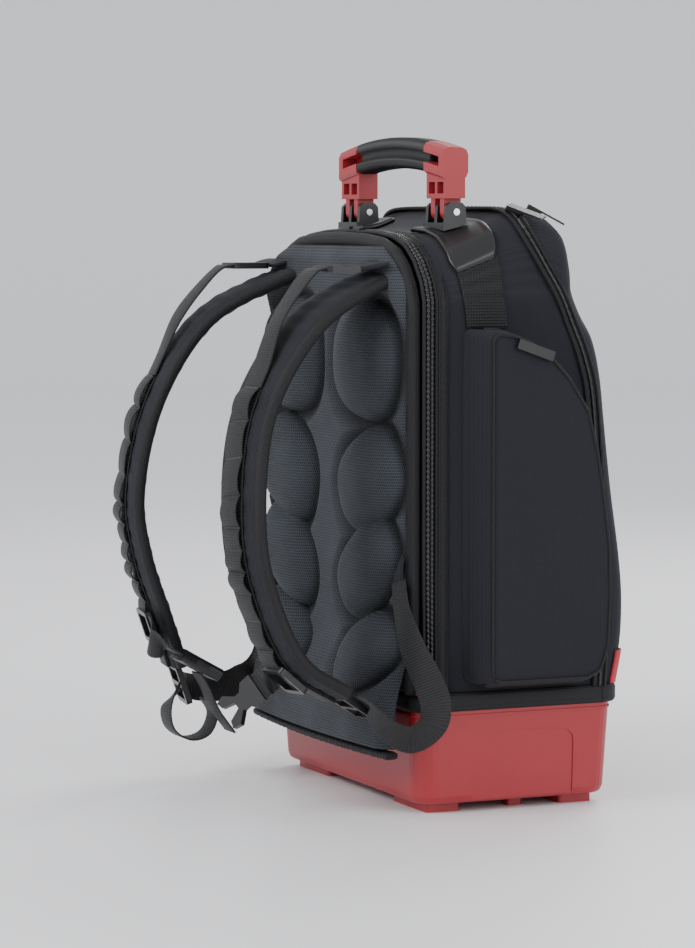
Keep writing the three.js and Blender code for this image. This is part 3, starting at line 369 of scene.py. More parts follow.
def grain_height(tree, source):
    """Fine noise at the grain's scale."""
    noise = node(tree, "ShaderNodeTexNoise", [("Vector", source.outputs["Vector"]), ("Scale", source.outputs["Scale"]), ("Detail", 4.0)])
    return noise.outputs["Fac"]


def maths(tree, operation, *values):
    return node(tree, "ShaderNodeMath", list(enumerate(values)), operation=operation).outputs[0]


def mesh_height(tree, source):
    """Rows of round holes, every second row half a pitch aside: threads are 1 and holes are 0."""
    split = node(tree, "ShaderNodeSeparateXYZ", [(0, source.outputs["Vector"])])
    rows = maths(tree, "MULTIPLY", split.outputs["Z"], maths(tree, "MULTIPLY", source.outputs["Holes"], 1.25))
    odd = maths(tree, "MULTIPLY", maths(tree, "FLOORED_MODULO", maths(tree, "FLOOR", rows), 2.0), 0.5)
    level = maths(tree, "ADD", split.outputs["X"], maths(tree, "MULTIPLY", split.outputs["Y"], 1.3))
    run = maths(tree, "ADD", maths(tree, "MULTIPLY", level, source.outputs["Holes"]), odd)
    a = maths(tree, "SUBTRACT", maths(tree, "FRACT", rows), 0.5)
    b = maths(tree, "SUBTRACT", maths(tree, "FRACT", run), 0.5)
    reach = maths(tree, "SQRT", maths(tree, "ADD", maths(tree, "MULTIPLY", a, a), maths(tree, "MULTIPLY", b, b)))
    return node(tree, "ShaderNodeMapRange", [(0, reach), (1, 0.2), (2, 0.46)]).outputs[0]


def rib_height(tree, source):
    """Sine of the distance along the webbing: ribs across it, a little roughened with noise."""
    split = node(tree, "ShaderNodeSeparateXYZ", [(0, source.outputs["Vector"])])
    wave = maths(tree, "SINE", maths(tree, "MULTIPLY", split.outputs["Y"], source.outputs["Ribs"]))
    noise = node(tree, "ShaderNodeTexNoise", [("Vector", source.outputs["Vector"]), ("Scale", 300.0)])
    return maths(tree, "ADD", maths(tree, "MULTIPLY_ADD", wave, 0.5, 0.2), noise.outputs["Fac"])


WEAVE = effect("weave", {"Threads": 4200.0}, weave_height)
GRAIN = effect("grain", {"Scale": 900.0}, grain_height)
MESH = effect("open_mesh", {"Holes": 420.0}, mesh_height)
RIBS = effect("ribs", {"Ribs": 2900.0}, rib_height)


def finish(name, light, dark, roughness, group, value, strength, distance, sheen=0.0, coat=0.0, metallic=0.0,
           specular=0.5, along_route=False, relief_shade=False):
    """Material whose colour runs from dark to light with the effect, which also raises the surface.
    The effect reads the object's own coordinates, or the distance along a swept route; with relief shading
    set, painted shade darkens the colour where the piece's own relief is low, as in the channels between lobes."""
    material = bpy.data.materials.new(name)
    material.use_nodes = True
    tree = material.node_tree
    shader = tree.nodes["Principled BSDF"]
    shader.inputs["Specular IOR Level"].default_value = specular
    place = node(tree, "ShaderNodeTexCoord")
    pattern = node(tree, "ShaderNodeGroup", node_tree=group)
    if along_route:
        route = node(tree, "ShaderNodeAttribute", attribute_name="route")
        tree.links.new(route.outputs["Vector"], pattern.inputs["Vector"])
    else:
        tree.links.new(place.outputs["Object"], pattern.inputs["Vector"])
    pattern.inputs[1].default_value = value
    clouds = node(tree, "ShaderNodeTexNoise", [("Vector", place.outputs["Object"]), ("Scale", 24.0), ("Detail", 2.0)])
    mask = node(tree, "ShaderNodeMath", [(0, pattern.outputs[0]), (1, clouds.outputs["Fac"])], operation="ADD")
    spread = node(tree, "ShaderNodeMapRange", [(0, mask.outputs[0]), (1, 0.2), (2, 1.8)])
    factor = spread.outputs[0]
    # Painted shade: the colour is darkened down to 8 percent where the relief attribute is low, in the channels
    # between the pad's lobes.
    if relief_shade:
        height = node(tree, "ShaderNodeAttribute", attribute_name="relief_shade")
        lift = node(tree, "ShaderNodeMapRange", [(0, height.outputs["Fac"]), (1, 0.0), (2, 1.0), (3, 0.08)])
        factor = maths(tree, "MULTIPLY", factor, lift.outputs[0])
    mix = node(tree, "ShaderNodeMix", [("Factor", factor)], data_type="RGBA")
    mix.inputs[6].default_value = (*dark, 1)
    mix.inputs[7].default_value = (*light, 1)
    bump = node(tree, "ShaderNodeBump", [("Height", pattern.outputs[0]), ("Strength", strength), ("Distance", distance)])
    tree.links.new(mix.outputs[2], shader.inputs["Base Color"])
    tree.links.new(bump.outputs[0], shader.inputs["Normal"])
    shader.inputs["Roughness"].default_value = roughness
    shader.inputs["Sheen Weight"].default_value = sheen
    shader.inputs["Coat Weight"].default_value = coat
    shader.inputs["Metallic"].default_value = metallic
    return material


def plain(name, colour, roughness):
    material = bpy.data.materials.new(name)
    material.use_nodes = True
    shader = material.node_tree.nodes["Principled BSDF"]
    shader.inputs["Base Color"].default_value = (*colour, 1)
    shader.inputs["Roughness"].default_value = roughness
    return material


RED_SHELL = finish("red_shell", (0.36, 0.018, 0.026), (0.28, 0.012, 0.018), 0.38, GRAIN, 1400.0, 0.12, 0.0003)
RED_HANDLE = finish("red_handle", (0.38, 0.024, 0.032), (0.3, 0.018, 0.024), 0.45, GRAIN, 1600.0, 0.12, 0.0003)
NAVY = finish("navy_fabric", (0.0165, 0.017, 0.0225), (0.0118, 0.0122, 0.0165), 0.85, WEAVE, 3600.0, 0.14, 0.0003,
              sheen=0.04, specular=0.24)
TRIM = finish("black_fabric", (0.009, 0.009, 0.0105), (0.005, 0.005, 0.006), 0.6, WEAVE, 5200.0, 0.3, 0.0003,
              sheen=0.02, specular=0.3)
# Spacer mesh, with painted shade in the channels between its lobes, taken from the pad's relief.
SPACER = finish("spacer_mesh", (0.06, 0.068, 0.08), (0.004, 0.0045, 0.006), 0.75, MESH, 340.0, 0.9, 0.0009,
                sheen=0.05, specular=0.22, relief_shade=True)
WEBBING = finish("webbing", (0.016, 0.016, 0.017), (0.004, 0.004, 0.0045), 0.6, RIBS, 2900.0, 0.7, 0.0006,
                 sheen=0.03, specular=0.35, along_route=True)
WEBBING_SIDE = finish("side_webbing", (0.014, 0.014, 0.016), (0.006, 0.006, 0.007), 0.6, WEAVE, 2600.0, 0.6, 0.0005,
                      specular=0.3)
THREAD = finish("tack_thread", (0.05, 0.05, 0.048), (0.02, 0.02, 0.02), 0.7, GRAIN, 900.0, 0.2, 0.0003)
PLASTIC = finish("black_plastic", (0.008, 0.008, 0.009), (0.005, 0.005, 0.0055), 0.34, GRAIN, 1500.0, 0.08, 0.0002)
RUBBER = finish("rubber", (0.012, 0.012, 0.013), (0.006, 0.006, 0.0065), 0.5, GRAIN, 1000.0, 0.2, 0.0003)
STEEL = finish("rivet_steel", (0.7, 0.7, 0.71), (0.55, 0.55, 0.56), 0.25, GRAIN, 1200.0, 0.05, 0.0001, metallic=1.0)
RED_TAB = finish("red_fabric", (0.48, 0.02, 0.03), (0.36, 0.012, 0.02), 0.8, WEAVE, 5200.0, 0.3, 0.0003, sheen=0.1)
LOOKS = {
    "red_shell": RED_SHELL, "red_handle": RED_HANDLE, "navy_fabric": NAVY, "black_fabric": TRIM,
    "spacer_mesh": SPACER, "webbing": WEBBING, "black_plastic": PLASTIC, "rubber": RUBBER,
    "rivet_steel": STEEL, "red_fabric": RED_TAB,
}


# Fabric body

def spline(points, count):
    """Uniform Catmull-Rom spline in the plane, as the solids' outline is."""
    p = np.asarray(points, float)
    at = np.linspace(0, len(p) - 1, count)
    i = np.minimum(at.astype(int), len(p) - 2)
    t = (at - i)[:, None]
    p0, p1, p2, p3 = p[np.maximum(i - 1, 0)], p[i], p[i + 1], p[np.minimum(i + 2, len(p) - 1)]
    v0, v1 = (p2 - p0) / 2, (p3 - p1) / 2
    return (2 * p1 - 2 * p2 + v0 + v1) * t ** 3 + (-3 * p1 + 3 * p2 - 2 * v0 - v1) * t ** 2 + v0 * t + p1


def outline(table, count):
    return spline([[y * FRONT_REACH, BODY_BOTTOM + z * PROFILE_SPAN] for y, z in table], count)


def body_points(y, z, side, grow=0.0):
    """The solids' own rule: x is the share of the half width, the shoulder table lowers z, and the
    front corner's circle takes y back."""
    half = HALF_BODY + grow
    share = np.abs(side)
    table = np.array(SHOULDER)
    squarer = 1 + 1.2 * smoothstep(y, BODY_BACK, PATCH_FRONT)
    drop = np.interp(share, table[:, 0], table[:, 1]) ** squarer
    weight = smoothstep(z, SHOULDER_START, BODY_TOP + grow)
    over = np.maximum(z - BODY_TOP - grow, 0)
    corner = np.maximum(share * half - (half - FRONT_CORNER), 0)
    rounding = FRONT_CORNER - np.sqrt(np.maximum(FRONT_CORNER ** 2 - corner ** 2, 0))
    forward = smoothstep(y, 0, FRONT_REACH / 3)
    return np.stack([side * half + 0 * y, y - rounding * forward, z - drop * (SHOULDER_DROP * weight + over)], -1)


def cloth_sag(points, depth):
    """Slow waves, a few millimetres deep, that only pull the cloth inwards."""
    x, y, z = points[..., 0], points[..., 1], points[..., 2]
    wave = np.sin(x / 31 + z / 47) * np.sin(y / 37 - z / 61 + 1.3) + 0.5 * np.sin(z / 19 + x / 23)
    return depth * (0.5 + wave / 3)


def add_body():
    """Grid over the front, roof and back edge, with flat walls on each side that run back from the front's edge."""
    line = outline(FRONT_PROFILE, 90)
    line = np.vstack([line, [BODY_BACK, line[-1, 1]]])
    side = -np.cos(np.linspace(0, math.pi, 61))
    y, z = line[:, 0][:, None], line[:, 1][:, None]
    skin = body_points(y + 0 * side, z + 0 * side, side[None, :] + 0 * y)
    inset = cloth_sag(skin, 0.9)[..., None]
    normal = np.cross(np.gradient(skin, axis=1), np.gradient(skin, axis=0))
    normal /= np.maximum(np.linalg.norm(normal, axis=-1, keepdims=True), 1e-9)
    fade = np.minimum(1, (1 - np.abs(side)) * 8)[None, :, None]
    skin = skin - normal * inset * fade * np.sign(normal[30, 30, 1])
    rows, columns = skin.shape[:2]
    points = skin.reshape(-1, 3)
    faces = grid_faces(rows, columns)
    for column in (0, columns - 1):
        rim = skin[:, column]
        first = np.argmax(rim[:, 2] > BODY_TOP - SHOULDER_DROP - 0.05)
        share = (rim[first:, 1] - rim[first, 1]) / (BODY_BACK - rim[first, 1])
        front = rim[:first + 1, None]
        wall = np.repeat(front, len(share), axis=1)
        wall[..., 1] += share * (BODY_BACK - front[..., 1])
        calm = np.sin(math.pi * share) * np.minimum(1, (wall[-1:, :, 2] - wall[..., 2]) / 40)
        wall[..., 0] -= np.sign(rim[0, 0]) * cloth_sag(wall, 1.4) * calm
        faces = np.vstack([faces, grid_faces(*wall.shape[:2]) + len(points)])
        points = np.vstack([points, wall.reshape(-1, 3)])
    piece = mesh_of("bag_body", placed(points), faces, NAVY)
    merge(piece)
    solid = piece.modifiers.new("wall", "SOLIDIFY")
    solid.thickness = 1.8 * MM
    solid.offset = -1
    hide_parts("main_shell", "front_shell")
    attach(piece, "bag")


def merge(piece):
    import bmesh
    work = bmesh.new()
    work.from_mesh(piece.data)
    bmesh.ops.remove_doubles(work, verts=work.verts, dist=1e-5)
    bmesh.ops.dissolve_degenerate(work, dist=1e-6, edges=work.edges)
    bmesh.ops.recalc_face_normals(work, faces=work.faces)
    work.to_mesh(piece.data)
    work.free()


def add_seam():
    """Piping and coil along the seam of the front compartment, up one side, over the top and down."""
    route = seam_route()
    away = route - np.array([0, 0, 300.0])
    away[:, 1] *= 0.1
    across, normal = cord_frame(route, away / np.linalg.norm(away, axis=1, keepdims=True))
    band = rounded_bar(10.5, 0.1, 1.5, 5)
    ride_soft(sweep("seam_band", route, across, normal, band, TRIM), "front_trim")
    for shift, label in ((-5.2, "rear"), (5.2, "front")):
        place = route + across * shift + normal * 1.5
        ride_soft(sweep(f"seam_piping_{label}", place, across, normal, circle(1.5), TRIM), slot="black_fabric")
    ripple = 1.4 + 0.35 * np.sin(np.arange(len(route)) * 2.2)[:, None, None]
    coil = ripple * circle(1.0, 6)[None]
    ride_soft(sweep("seam_zip_coil", route + normal * 2.0, across, normal, coil, PLASTIC), slot="black_plastic")


def seam_route():
    """Where the seam's surface cuts the body: by rows up each rounded front corner, or down the flat
    wall where the corner lies ahead of it, and by columns over the crown."""
    line = np.vstack([outline(FRONT_PROFILE, 240), [[BODY_BACK, BODY_TOP]]])
    side = np.linspace(0, 1, 161)
    skin = body_points(line[:, :1] + 0 * side, line[:, 1:] + 0 * side, side[None] + 0 * line[:, :1])
    seam = outline(SEAM_PROFILE, 200)
    seam = seam[np.argsort(seam[:, 1])]
    ahead = skin[..., 1] - np.interp(skin[..., 2], seam[:, 1], seam[:, 0])
    inner = np.argmax(side >= 0.9)
    turn = np.argmax(ahead[:, inner] < 0)
    row, column = np.arange(turn), np.argmax(ahead[:turn] < 0, axis=1)
    on_wall = column == 0
    column = np.maximum(column, 1)
    low, high = ahead[row, column - 1], ahead[row, column]
    part = (low / (low - high))[:, None]
    rise = skin[row, column - 1] * (1 - part) + skin[row, column] * part
    rim = skin[:turn, -1]
    wall = np.stack([rim[:, 0], np.interp(rim[:, 2], seam[:, 1], seam[:, 0]), rim[:, 2]], -1)
    rise = np.where(on_wall[:, None], wall, rise)
    column = np.arange(inner, -1, -1)
    row = np.maximum(np.argmax(ahead[:, column] < 0, axis=0), 1)
    low, high = ahead[row - 1, column], ahead[row, column]
    part = (low / (low - high))[:, None]
    crown = skin[row - 1, column] * (1 - part) + skin[row, column] * part
    half = np.vstack([rise[rise[:, 2] < crown[0, 2]], crown])
    return smooth(resample(np.vstack([half[:-1], half[::-1] * [-1, 1, 1]]), 420))


def smooth(points, rounds=12):
    """Each point moved to the mean of itself and its neighbours, some times over; the ends stay."""
    for _ in range(rounds):
        points[1:-1] = (points[:-2] + 2 * points[1:-1] + points[2:]) / 4
    return points


def resample(points, count):
    """Points at equal distances along a line."""
    step = np.linalg.norm(np.diff(points, axis=0), axis=1)
    run = np.concatenate([[0], np.cumsum(step)])
    at = np.linspace(0, run[-1], count)
    return np.stack([np.interp(at, run, points[:, i]) for i in range(3)], -1)


def ride_soft(piece, *replaced, slot=None, body="bag"):
    """Puts a piece on its body and hides the solids that it replaces; slot is not used."""
    if replaced:
        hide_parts(*replaced)
    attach(piece, body)
    return piece


# Back

def arch_route(half, bottom, top, y, count):
    """Up one side, over the shoulders and down the other, as the shoulder table gives it."""
    table = np.array(SHOULDER)
    side = np.sin(np.linspace(math.pi / 2, -math.pi / 2, 80))
    crown = np.stack([side * half, np.full(80, y), top - SHOULDER_DROP * np.interp(np.abs(side), table[:, 0], table[:, 1])], -1)
    ends = [np.array([[half, y, bottom]]), crown, np.array([[-half, y, bottom]])]
    return resample(np.vstack(ends), count)


def add_rear_zip():
    """Coil in the middle of the rear gusset, with a piped edge on each side."""
    hint = np.array([0, 1.0, 0])

    def along_arch(name, y, proud, section, material, *replaced, slot=None, count=260, start=1):
        route = arch_route(HALF_BODY + proud, BODY_BOTTOM + start, BODY_TOP + proud, y, count)
        across, normal = cord_frame(route, hint)
        return ride_soft(sweep(name, route, across, normal, section, material), *replaced, slot=slot)

    along_arch("zip_tape", -79.2, -1.4, turned(rounded_bar(11.6, -0.9, 0.9, 5)), TRIM, "rear_zip")
    for y, label in ((-84.4, "rear"), (-73.6, "front")):
        along_arch(f"zip_piping_{label}", y, -0.3, circle(1.7), TRIM, slot="black_fabric")
    along_arch("zip_ribbon", -67.6, 0.2, turned(rounded_bar(9.0, -0.6, 0.6, 5)), TRIM, slot="black_fabric")
    for y, phase, label in ((-80.9, 0, "rear"), (-77.6, math.pi, "front")):
        ripple = 1 + 0.32 * np.sin(np.arange(900) * 1.5 + phase)[:, None, None]
        coil = ripple * circle(1.75, 6)[None]
        along_arch(f"zip_teeth_{label}", y, 0.1, coil, PLASTIC, slot="black_plastic", count=900, start=30)
    for y, label in ((-70.2, "rear"), (-65.0, "front")):
        stitch = (0.34 + 0.2 * np.sin(np.arange(700) * 1.3))[:, None, None] * circle(1.0, 4)[None]
        along_arch(f"zip_stitch_{label}", y, 0.95, stitch, TRIM, slot="black_fabric", count=700)
    bar = turned(rounded_bar(10.6, -6.2, 6.2, 13))
    along_arch("panel_roll", -91.6, -6.8, bar, TRIM, slot="black_fabric")
    arch = arch_route(HALF_BODY - 2.5, BODY_BOTTOM + 1, BODY_TOP - 2.5, 0, 120)
    ride_soft(slab("panel_back", arch[:, [0, 2]], -86.0, -93.4, TRIM), "back_cover")


def turned(section):
    """A section with its two ways exchanged."""
    return section[:, ::-1]


def pad_offset(x, z):
    flare = 1 - smoothstep(z, 80.0, 140.0)
    return flare * (12.0 + 8.0 * (1 - (x / PAD_HALF) ** 2))


def pad_half(z):
    shoulder = PAD_TOP - 0.9 * SHOULDER_DROP
    over = np.clip((z - shoulder) / (PAD_TOP - shoulder), 0, 1)
    return PAD_HALF * (1 - 0.32 * over ** 2.4)


def lobe_relief(x, z):
    """Sum of soft domes: the root of one minus the squared distance inside each turned ellipse,
    taken to a power that gives flat tops and steep, narrow channels between the lobes."""
    height = PAD_TOP - PAD_LOW
    reach = np.full(np.broadcast(x, z).shape, 9.0)
    for side in (-1, 1):
        for cx, cz, wide, high, tilt in LOBES:
            angle = math.radians(tilt) * side
            dx = x - side * cx * PAD_HALF
            dz = z - (PAD_LOW + cz * height)
            u = (dx * math.cos(angle) + dz * math.sin(angle)) / (wide * PAD_HALF * LOBE_SPREAD)
            v = (-dx * math.sin(angle) + dz * math.cos(angle)) / (high * height * LOBE_SPREAD)
            reach = np.minimum(reach, (np.abs(u) ** 2.5 + np.abs(v) ** 2.5) ** 0.4)
    dome = (LOBE_DEPTH + 6) * np.clip(1 - reach ** 3.2, 0, 1) ** 0.6
    return dome + WEB_RISE * smoothstep(reach, 1.04, 1.36)


def add_back_pad():
    """Sheet over the pad's outline whose face rises with the lobes, closed by a flat back."""
    z = np.linspace(PAD_LOW, PAD_TOP, 236)[:, None]
    side = np.linspace(-1, 1, 181)[None, :]
    x = side * pad_half(z)
    flat = PAD_FACE - pad_offset(x, z)
    edge = np.clip((1 - np.abs(side)) * 14, 0, 1) ** 0.5 * np.clip((PAD_TOP - z) / 10, 0.15, 1) ** 0.5
    face = flat - PAD_THICKNESS * 0.6 * (0.35 + 0.65 * edge) - lobe_relief(x, z) * np.clip(edge, 0, 1)
    front = np.stack([x, face, z + 0 * x], -1)
    back = np.stack([x, flat + 0 * x, z + 0 * x], -1)
    rows, columns = front.shape[:2]
    faces = np.vstack([grid_faces(rows, columns), grid_faces(rows, columns)[:, ::-1] + rows * columns])
    index = np.arange(rows * columns).reshape(rows, columns)
    ring = np.concatenate([index[0], index[1:, -1], index[-1, -2::-1], index[-2:0:-1, 0]])
    after = np.roll(ring, -1)
    walls = np.stack([ring, after, after + rows * columns, ring + rows * columns], -1)
    piece = mesh_of("back_pad_mesh", placed(np.vstack([front.reshape(-1, 3), back.reshape(-1, 3)])),
                    np.vstack([faces, walls]), SPACER)
    # Relief heights as a point attribute; the spacer material reads them to paint shade into the channels between the
    # lobes.
    relief = (lobe_relief(x, z) / (WEB_RISE * 0.8)).ravel()
    height = np.concatenate([relief, np.zeros(rows * columns)])
    piece.data.attributes.new("relief_shade", "FLOAT", "POINT").data.foreach_set("value", height)
    merge(piece)
    ride_soft(outward(piece), "back_pad")


def add_pad_binding():
    """Gathered elastic hem: a rounded band along the pad's bottom, its depth rippling by the gathers."""
    x = np.linspace(-PAD_HALF, PAD_HALF, 400)
    place = np.stack([x, PAD_FACE - 3 - pad_offset(x, 50.0), np.full_like(x, 49.7)], -1)
    across, normal = cord_frame(place, np.array([0, 1.0, 0]))
    gather = 0.5 * np.sin(x * 1.35) + 0.3 * np.sin(x * 2.3 + 1) + 0.3 * np.sin(x * 0.61)
    bar = turned(rounded_bar(11.6, -2.9, 2.9, 9))[None] * np.stack([1 + 0.22 * gather, 1 + 0.04 * gather], -1)[:, None]
    ride_soft(sweep("pad_hem", place, across, normal, bar, TRIM), "pad_binding")


# Side pockets

def pocket_outline(count):
    face = np.vstack([POCKET_FACE, POCKET_FACE[:1]])
    step = np.concatenate([[0], np.cumsum(np.linalg.norm(np.diff(face * [POCKET_LENGTH, POCKET_HEIGHT], axis=0), axis=1))])
    at = np.linspace(0, step[-1], count, endpoint=False)
    return np.stack([np.interp(at, step, face[:, i]) for i in range(2)], -1)


def add_side_pocket(name, side):
    """Rings from the body out to the face: each scales the outline towards its middle, and the last
    rings fall to the centre as a face that domes outwards by less than the edge's radius."""
    edge = pocket_outline(220)
    centre = np.array([0.5, 0.48])
    levels = [(0, 1.0), (0.3, 1.0), (0.62, 1.0), (0.84, 0.995), (0.92, 0.985), (0.97, 0.965), (0.992, 0.94)]
    levels += [(0.998, s) for s in (0.88, 0.7, 0.5, 0.3, 0.12)]
    rings = []
    for share, scale in levels:
        ring = centre + (edge - centre) * scale
        y = POCKET_REAR + ring[:, 0] * POCKET_LENGTH - POCKET_FLARE * (1 - share) * (1 - ring[:, 0])
        z = POCKET_BOTTOM + ring[:, 1] * POCKET_HEIGHT
        rings.append(np.stack([np.full(len(edge), HALF_BODY + 0.3 + share * POCKET_PROUD), y, z], -1))
    rings = np.array(rings)
    rows, columns = rings.shape[:2]
    faces = grid_faces(rows, columns, wrap=True).tolist()
    faces.append([(rows - 1) * columns + i for i in range(columns)])
    points = rings.reshape(-1, 3) * [side, 1, 1]
    piece = mesh_of(f"pocket_{name}", placed(points), faces, NAVY)
    merge(piece)
    wall = piece.modifiers.new("wall", "SOLIDIFY")
    wall.thickness = 1.6 * MM
    wall.offset = -1
    ride_soft(piece, f"side_pocket_{name}")
    for share, scale, radius, label in ((0.97, 0.975, 1.5, "face_piping"), (0.55, 1.002, 1.7, "zip")):
        ring = centre + (edge - centre) * scale
        y = POCKET_REAR + ring[:, 0] * POCKET_LENGTH - POCKET_FLARE * (1 - share) * (1 - ring[:, 0])
        z = POCKET_BOTTOM + ring[:, 1] * POCKET_HEIGHT
        route = np.stack([np.full(len(edge), side * (HALF_BODY + 0.3 + share * POCKET_PROUD)), y, z], -1)
        keep = ring[:, 0] > 0.02 if label == "zip" else np.ones(len(ring), bool)
        route = resample(np.roll(route, -2, axis=0)[np.roll(keep, -2)], 320)
        across, normal = cord_frame(route, np.array([1.0, 0, 0]))
        piping = sweep(f"pocket_{label}_{name}", route, across, normal, circle(radius, 6), TRIM)
        ride_soft(piping, slot="black_fabric")


# Harness

def strap_frames(side, share):
    name = "left" if side > 0 else "right"
    points = np.array(STRAP_ROUTE + STRAP_ENDS[name], float) * [side, 1, 1]
    place = catmull_rom(points, share)
    along = catmull_rom(points, np.clip(share + 1e-4, 0, 1)) - catmull_rom(points, np.clip(share - 1e-4, 0, 1))
    along /= np.linalg.norm(along, axis=1, keepdims=True)
    turn = math.radians(STRAP_TURN)
    hint = np.array([math.cos(turn), side * math.sin(turn), 0])
    normal = np.cross(along, hint)
    normal /= np.linalg.norm(normal, axis=1, keepdims=True)
    across = np.cross(normal, along)
    return place, across, normal, along


def add_strap(name, side):
    """Padded band: a rounded section, fuller in its middle, whose edges are bound with a thin roll."""
    share = np.linspace(0, 1, 220)
    place, across, normal, along = strap_frames(side, share)
    middle = place - normal * STRAP_THICKNESS / 2
    u = np.linspace(-1, 1, 25)
    ruche = 1 + 0.05 * np.sin(share * 190)[:, None] + 0.03 * np.sin(share * 83 + 1)[:, None]
    bulge = (2.6 + 4.6 * (1 - u ** 4) ** 0.8)[None] * ruche
    wide = np.broadcast_to(u * (STRAP_WIDTH / 2 - 1.5), bulge.shape)
    section = np.stack([np.hstack([wide, wide[:, ::-1]]), np.hstack([-bulge, bulge[:, ::-1]])], -1)
    piece = sweep(f"strap_pad_{name}", middle, across, normal, section, NAVY)
    ride_soft(piece, f"strap_{name}")
    for edge, label in ((-1, "inner"), (1, "outer")):
        roll = middle + across * edge * (STRAP_WIDTH / 2 - 5.5)
        bind = sweep(f"strap_binding_{name}_{label}", roll, across, normal, rounded_bar(11.0, -5.2, 5.2, 9), TRIM)
        ride_soft(bind, slot="black_fabric")
    near = np.linspace(CHAIN_START, 0.998, 520)
    at, wide, out, _ = strap_frames(side, near)
    flat = rounded_bar(WEB_WIDTH, 0.1, 1.6, 5)
    ride_soft(sweep(f"strap_chain_{name}", at, wide, out, flat, WEBBING), f"strap_webbing_{name}")
    tacks = (near - CHAIN_START) * LOOPS / (LOOP_END - CHAIN_START)
    hump = np.where(near < LOOP_END, np.abs(np.sin(math.pi * tacks)) ** 0.6, 0.0)
    lean = 1 + 0.35 * np.sin(tacks * 2.1 + side)
    lifted = at + out * (2.3 + LOOP_RISE * hump * lean)[:, None]
    ride_soft(sweep(f"strap_loops_{name}", lifted, wide, out, rounded_bar(WEB_WIDTH, -0.7, 0.7, 5), WEBBING),
              slot="webbing")
    for index in range(LOOPS + 1):
        centre = CHAIN_START + index * (LOOP_END - CHAIN_START) / LOOPS
        at, wide, out, _ = strap_frames(side, np.array([centre - 0.0016, centre + 0.0016]))
        tack = sweep(f"strap_tack_{name}_{index}", at + out * 3.0, wide, out, rounded_bar(21.0, -0.5, 0.5, 3), THREAD)
        ride_soft(tack, slot="webbing")


def on_side(table, side):
    return [np.array(point, float) * [side, 1, 1] for point in table]


def add_harness(name, side):
    """Webbing between the strap, its buckles and the pad, along the solids' own routes."""
    (p0, p1), _, (n0, n1), (a0, a1) = strap_frames(side, np.array([CHAIN_START - 0.03, CHAIN_START]))
    ends = [p0 + n0 * 3, p1 + n1 * 1.8 - a1 * 1.3]
    tape(f"lifter_band_{name}", f"lifter_webbing_{name}", on_side(LIFTER_PLACES, side) + ends,
         on_side(LIFTER_FACES, side) + [n0, n1], 2.0)
    (end,), (wide,), (out,), (along,) = strap_frames(side, np.array([1.0]))
    end = end - out * STRAP_THICKNESS / 3 + along * 18.3
    under = end - out * 4.2
    lead = [under + wide * side * reach for reach in (26.0, 12.5)]
    sewn = on_side([[PAD_HALF - 1, -102.9, 190], [PAD_HALF + 5, -102.9, 168]], side)
    tape(f"lower_band_{name}", f"lower_webbing_{name}", sewn + on_side(LOWER_PLACES[name], side) + lead + [under],
         on_side([[0, -1, 0], [0.1, -1, 0]], side) + on_side(LOWER_FACES[name], side) + [out] * 3, 1.6, 260)
    (glide,), (g_wide,), (g_out,), _ = strap_frames(side, np.array([GLIDE_SHARE]))
    start = [glide + g_out * 5.6 - g_wide * side * reach for reach in (17.3, 21.8)]
    last = tape(f"chest_band_{name}", f"chest_webbing_{name}", start + on_side(CHEST_PLACES[name], side),
                [g_out] * 2 + on_side(CHEST_FACES[name], side), 1.6)
    y0, y1 = -121.9, -99.6
    t = np.linspace(0, 1, 14)
    place = np.stack([(100 + 6 * t) * side, y0 + (y1 - y0) * t, 440 + 0.2 * (y1 - y0) * t], -1)
    across, normal = cord_frame(place, np.array([0, 0, 1.0]))
    quilt = rounded_bar(34, -1.4, 1.4, 7)[None] * np.stack([1 + 0.35 * t, 1 + 0.5 * np.sin(math.pi * t)], -1)[:, None]
    ride_soft(sweep(f"lifter_wing_{name}", place, across, normal, quilt, NAVY), f"lifter_tab_{name}")
    t = np.linspace(0.02, 1, 16)
    place = np.stack([(PAD_HALF - 20 * (1 - t)) * side, np.full(16, -100.7), 188 - t], -1)
    across, normal = cord_frame(place, np.array([0, -1.0, 0]))
    wedge = rounded_bar(50, -1.1, 1.1, 7)[None] * np.stack([t, np.ones(16)], -1)[:, None]
    ride_soft(sweep(f"side_wedge_{name}", place, across, normal, wedge, NAVY), f"side_tab_{name}")
    return end, wide, out, last


def add_tails(end, wide, out, last):
    """Free tail of the chest strap and the loop that hangs from the far ladder lock."""
    place, _, normal, along = last
    start = place + along * (0.3 + 22.8) + normal * 6.7
    tape("chest_tail_band", "chest_tail", [start] + on_side(TAIL_PLACES, -1), [normal] + on_side(TAIL_FACES, -1), 1.6)
    start = end + out * 3.6 + wide * WEB_WIDTH * 0.55
    tape("loop_tail_band", "loop_tail", [start] + on_side(LOOP_PLACES, -1), [out] + on_side(LOOP_FACES, -1), 1.6, 220)


# Pieces that lie on the body's skin

def roof_height(y):
    line = outline(FRONT_PROFILE, 240)
    line = np.vstack([line[line[:, 1] >= BODY_TOP - 0.5], [[BODY_BACK, BODY_TOP]]])
    order = np.argsort(line[:, 0])
    return np.interp(y, line[order, 0], line[order, 1])


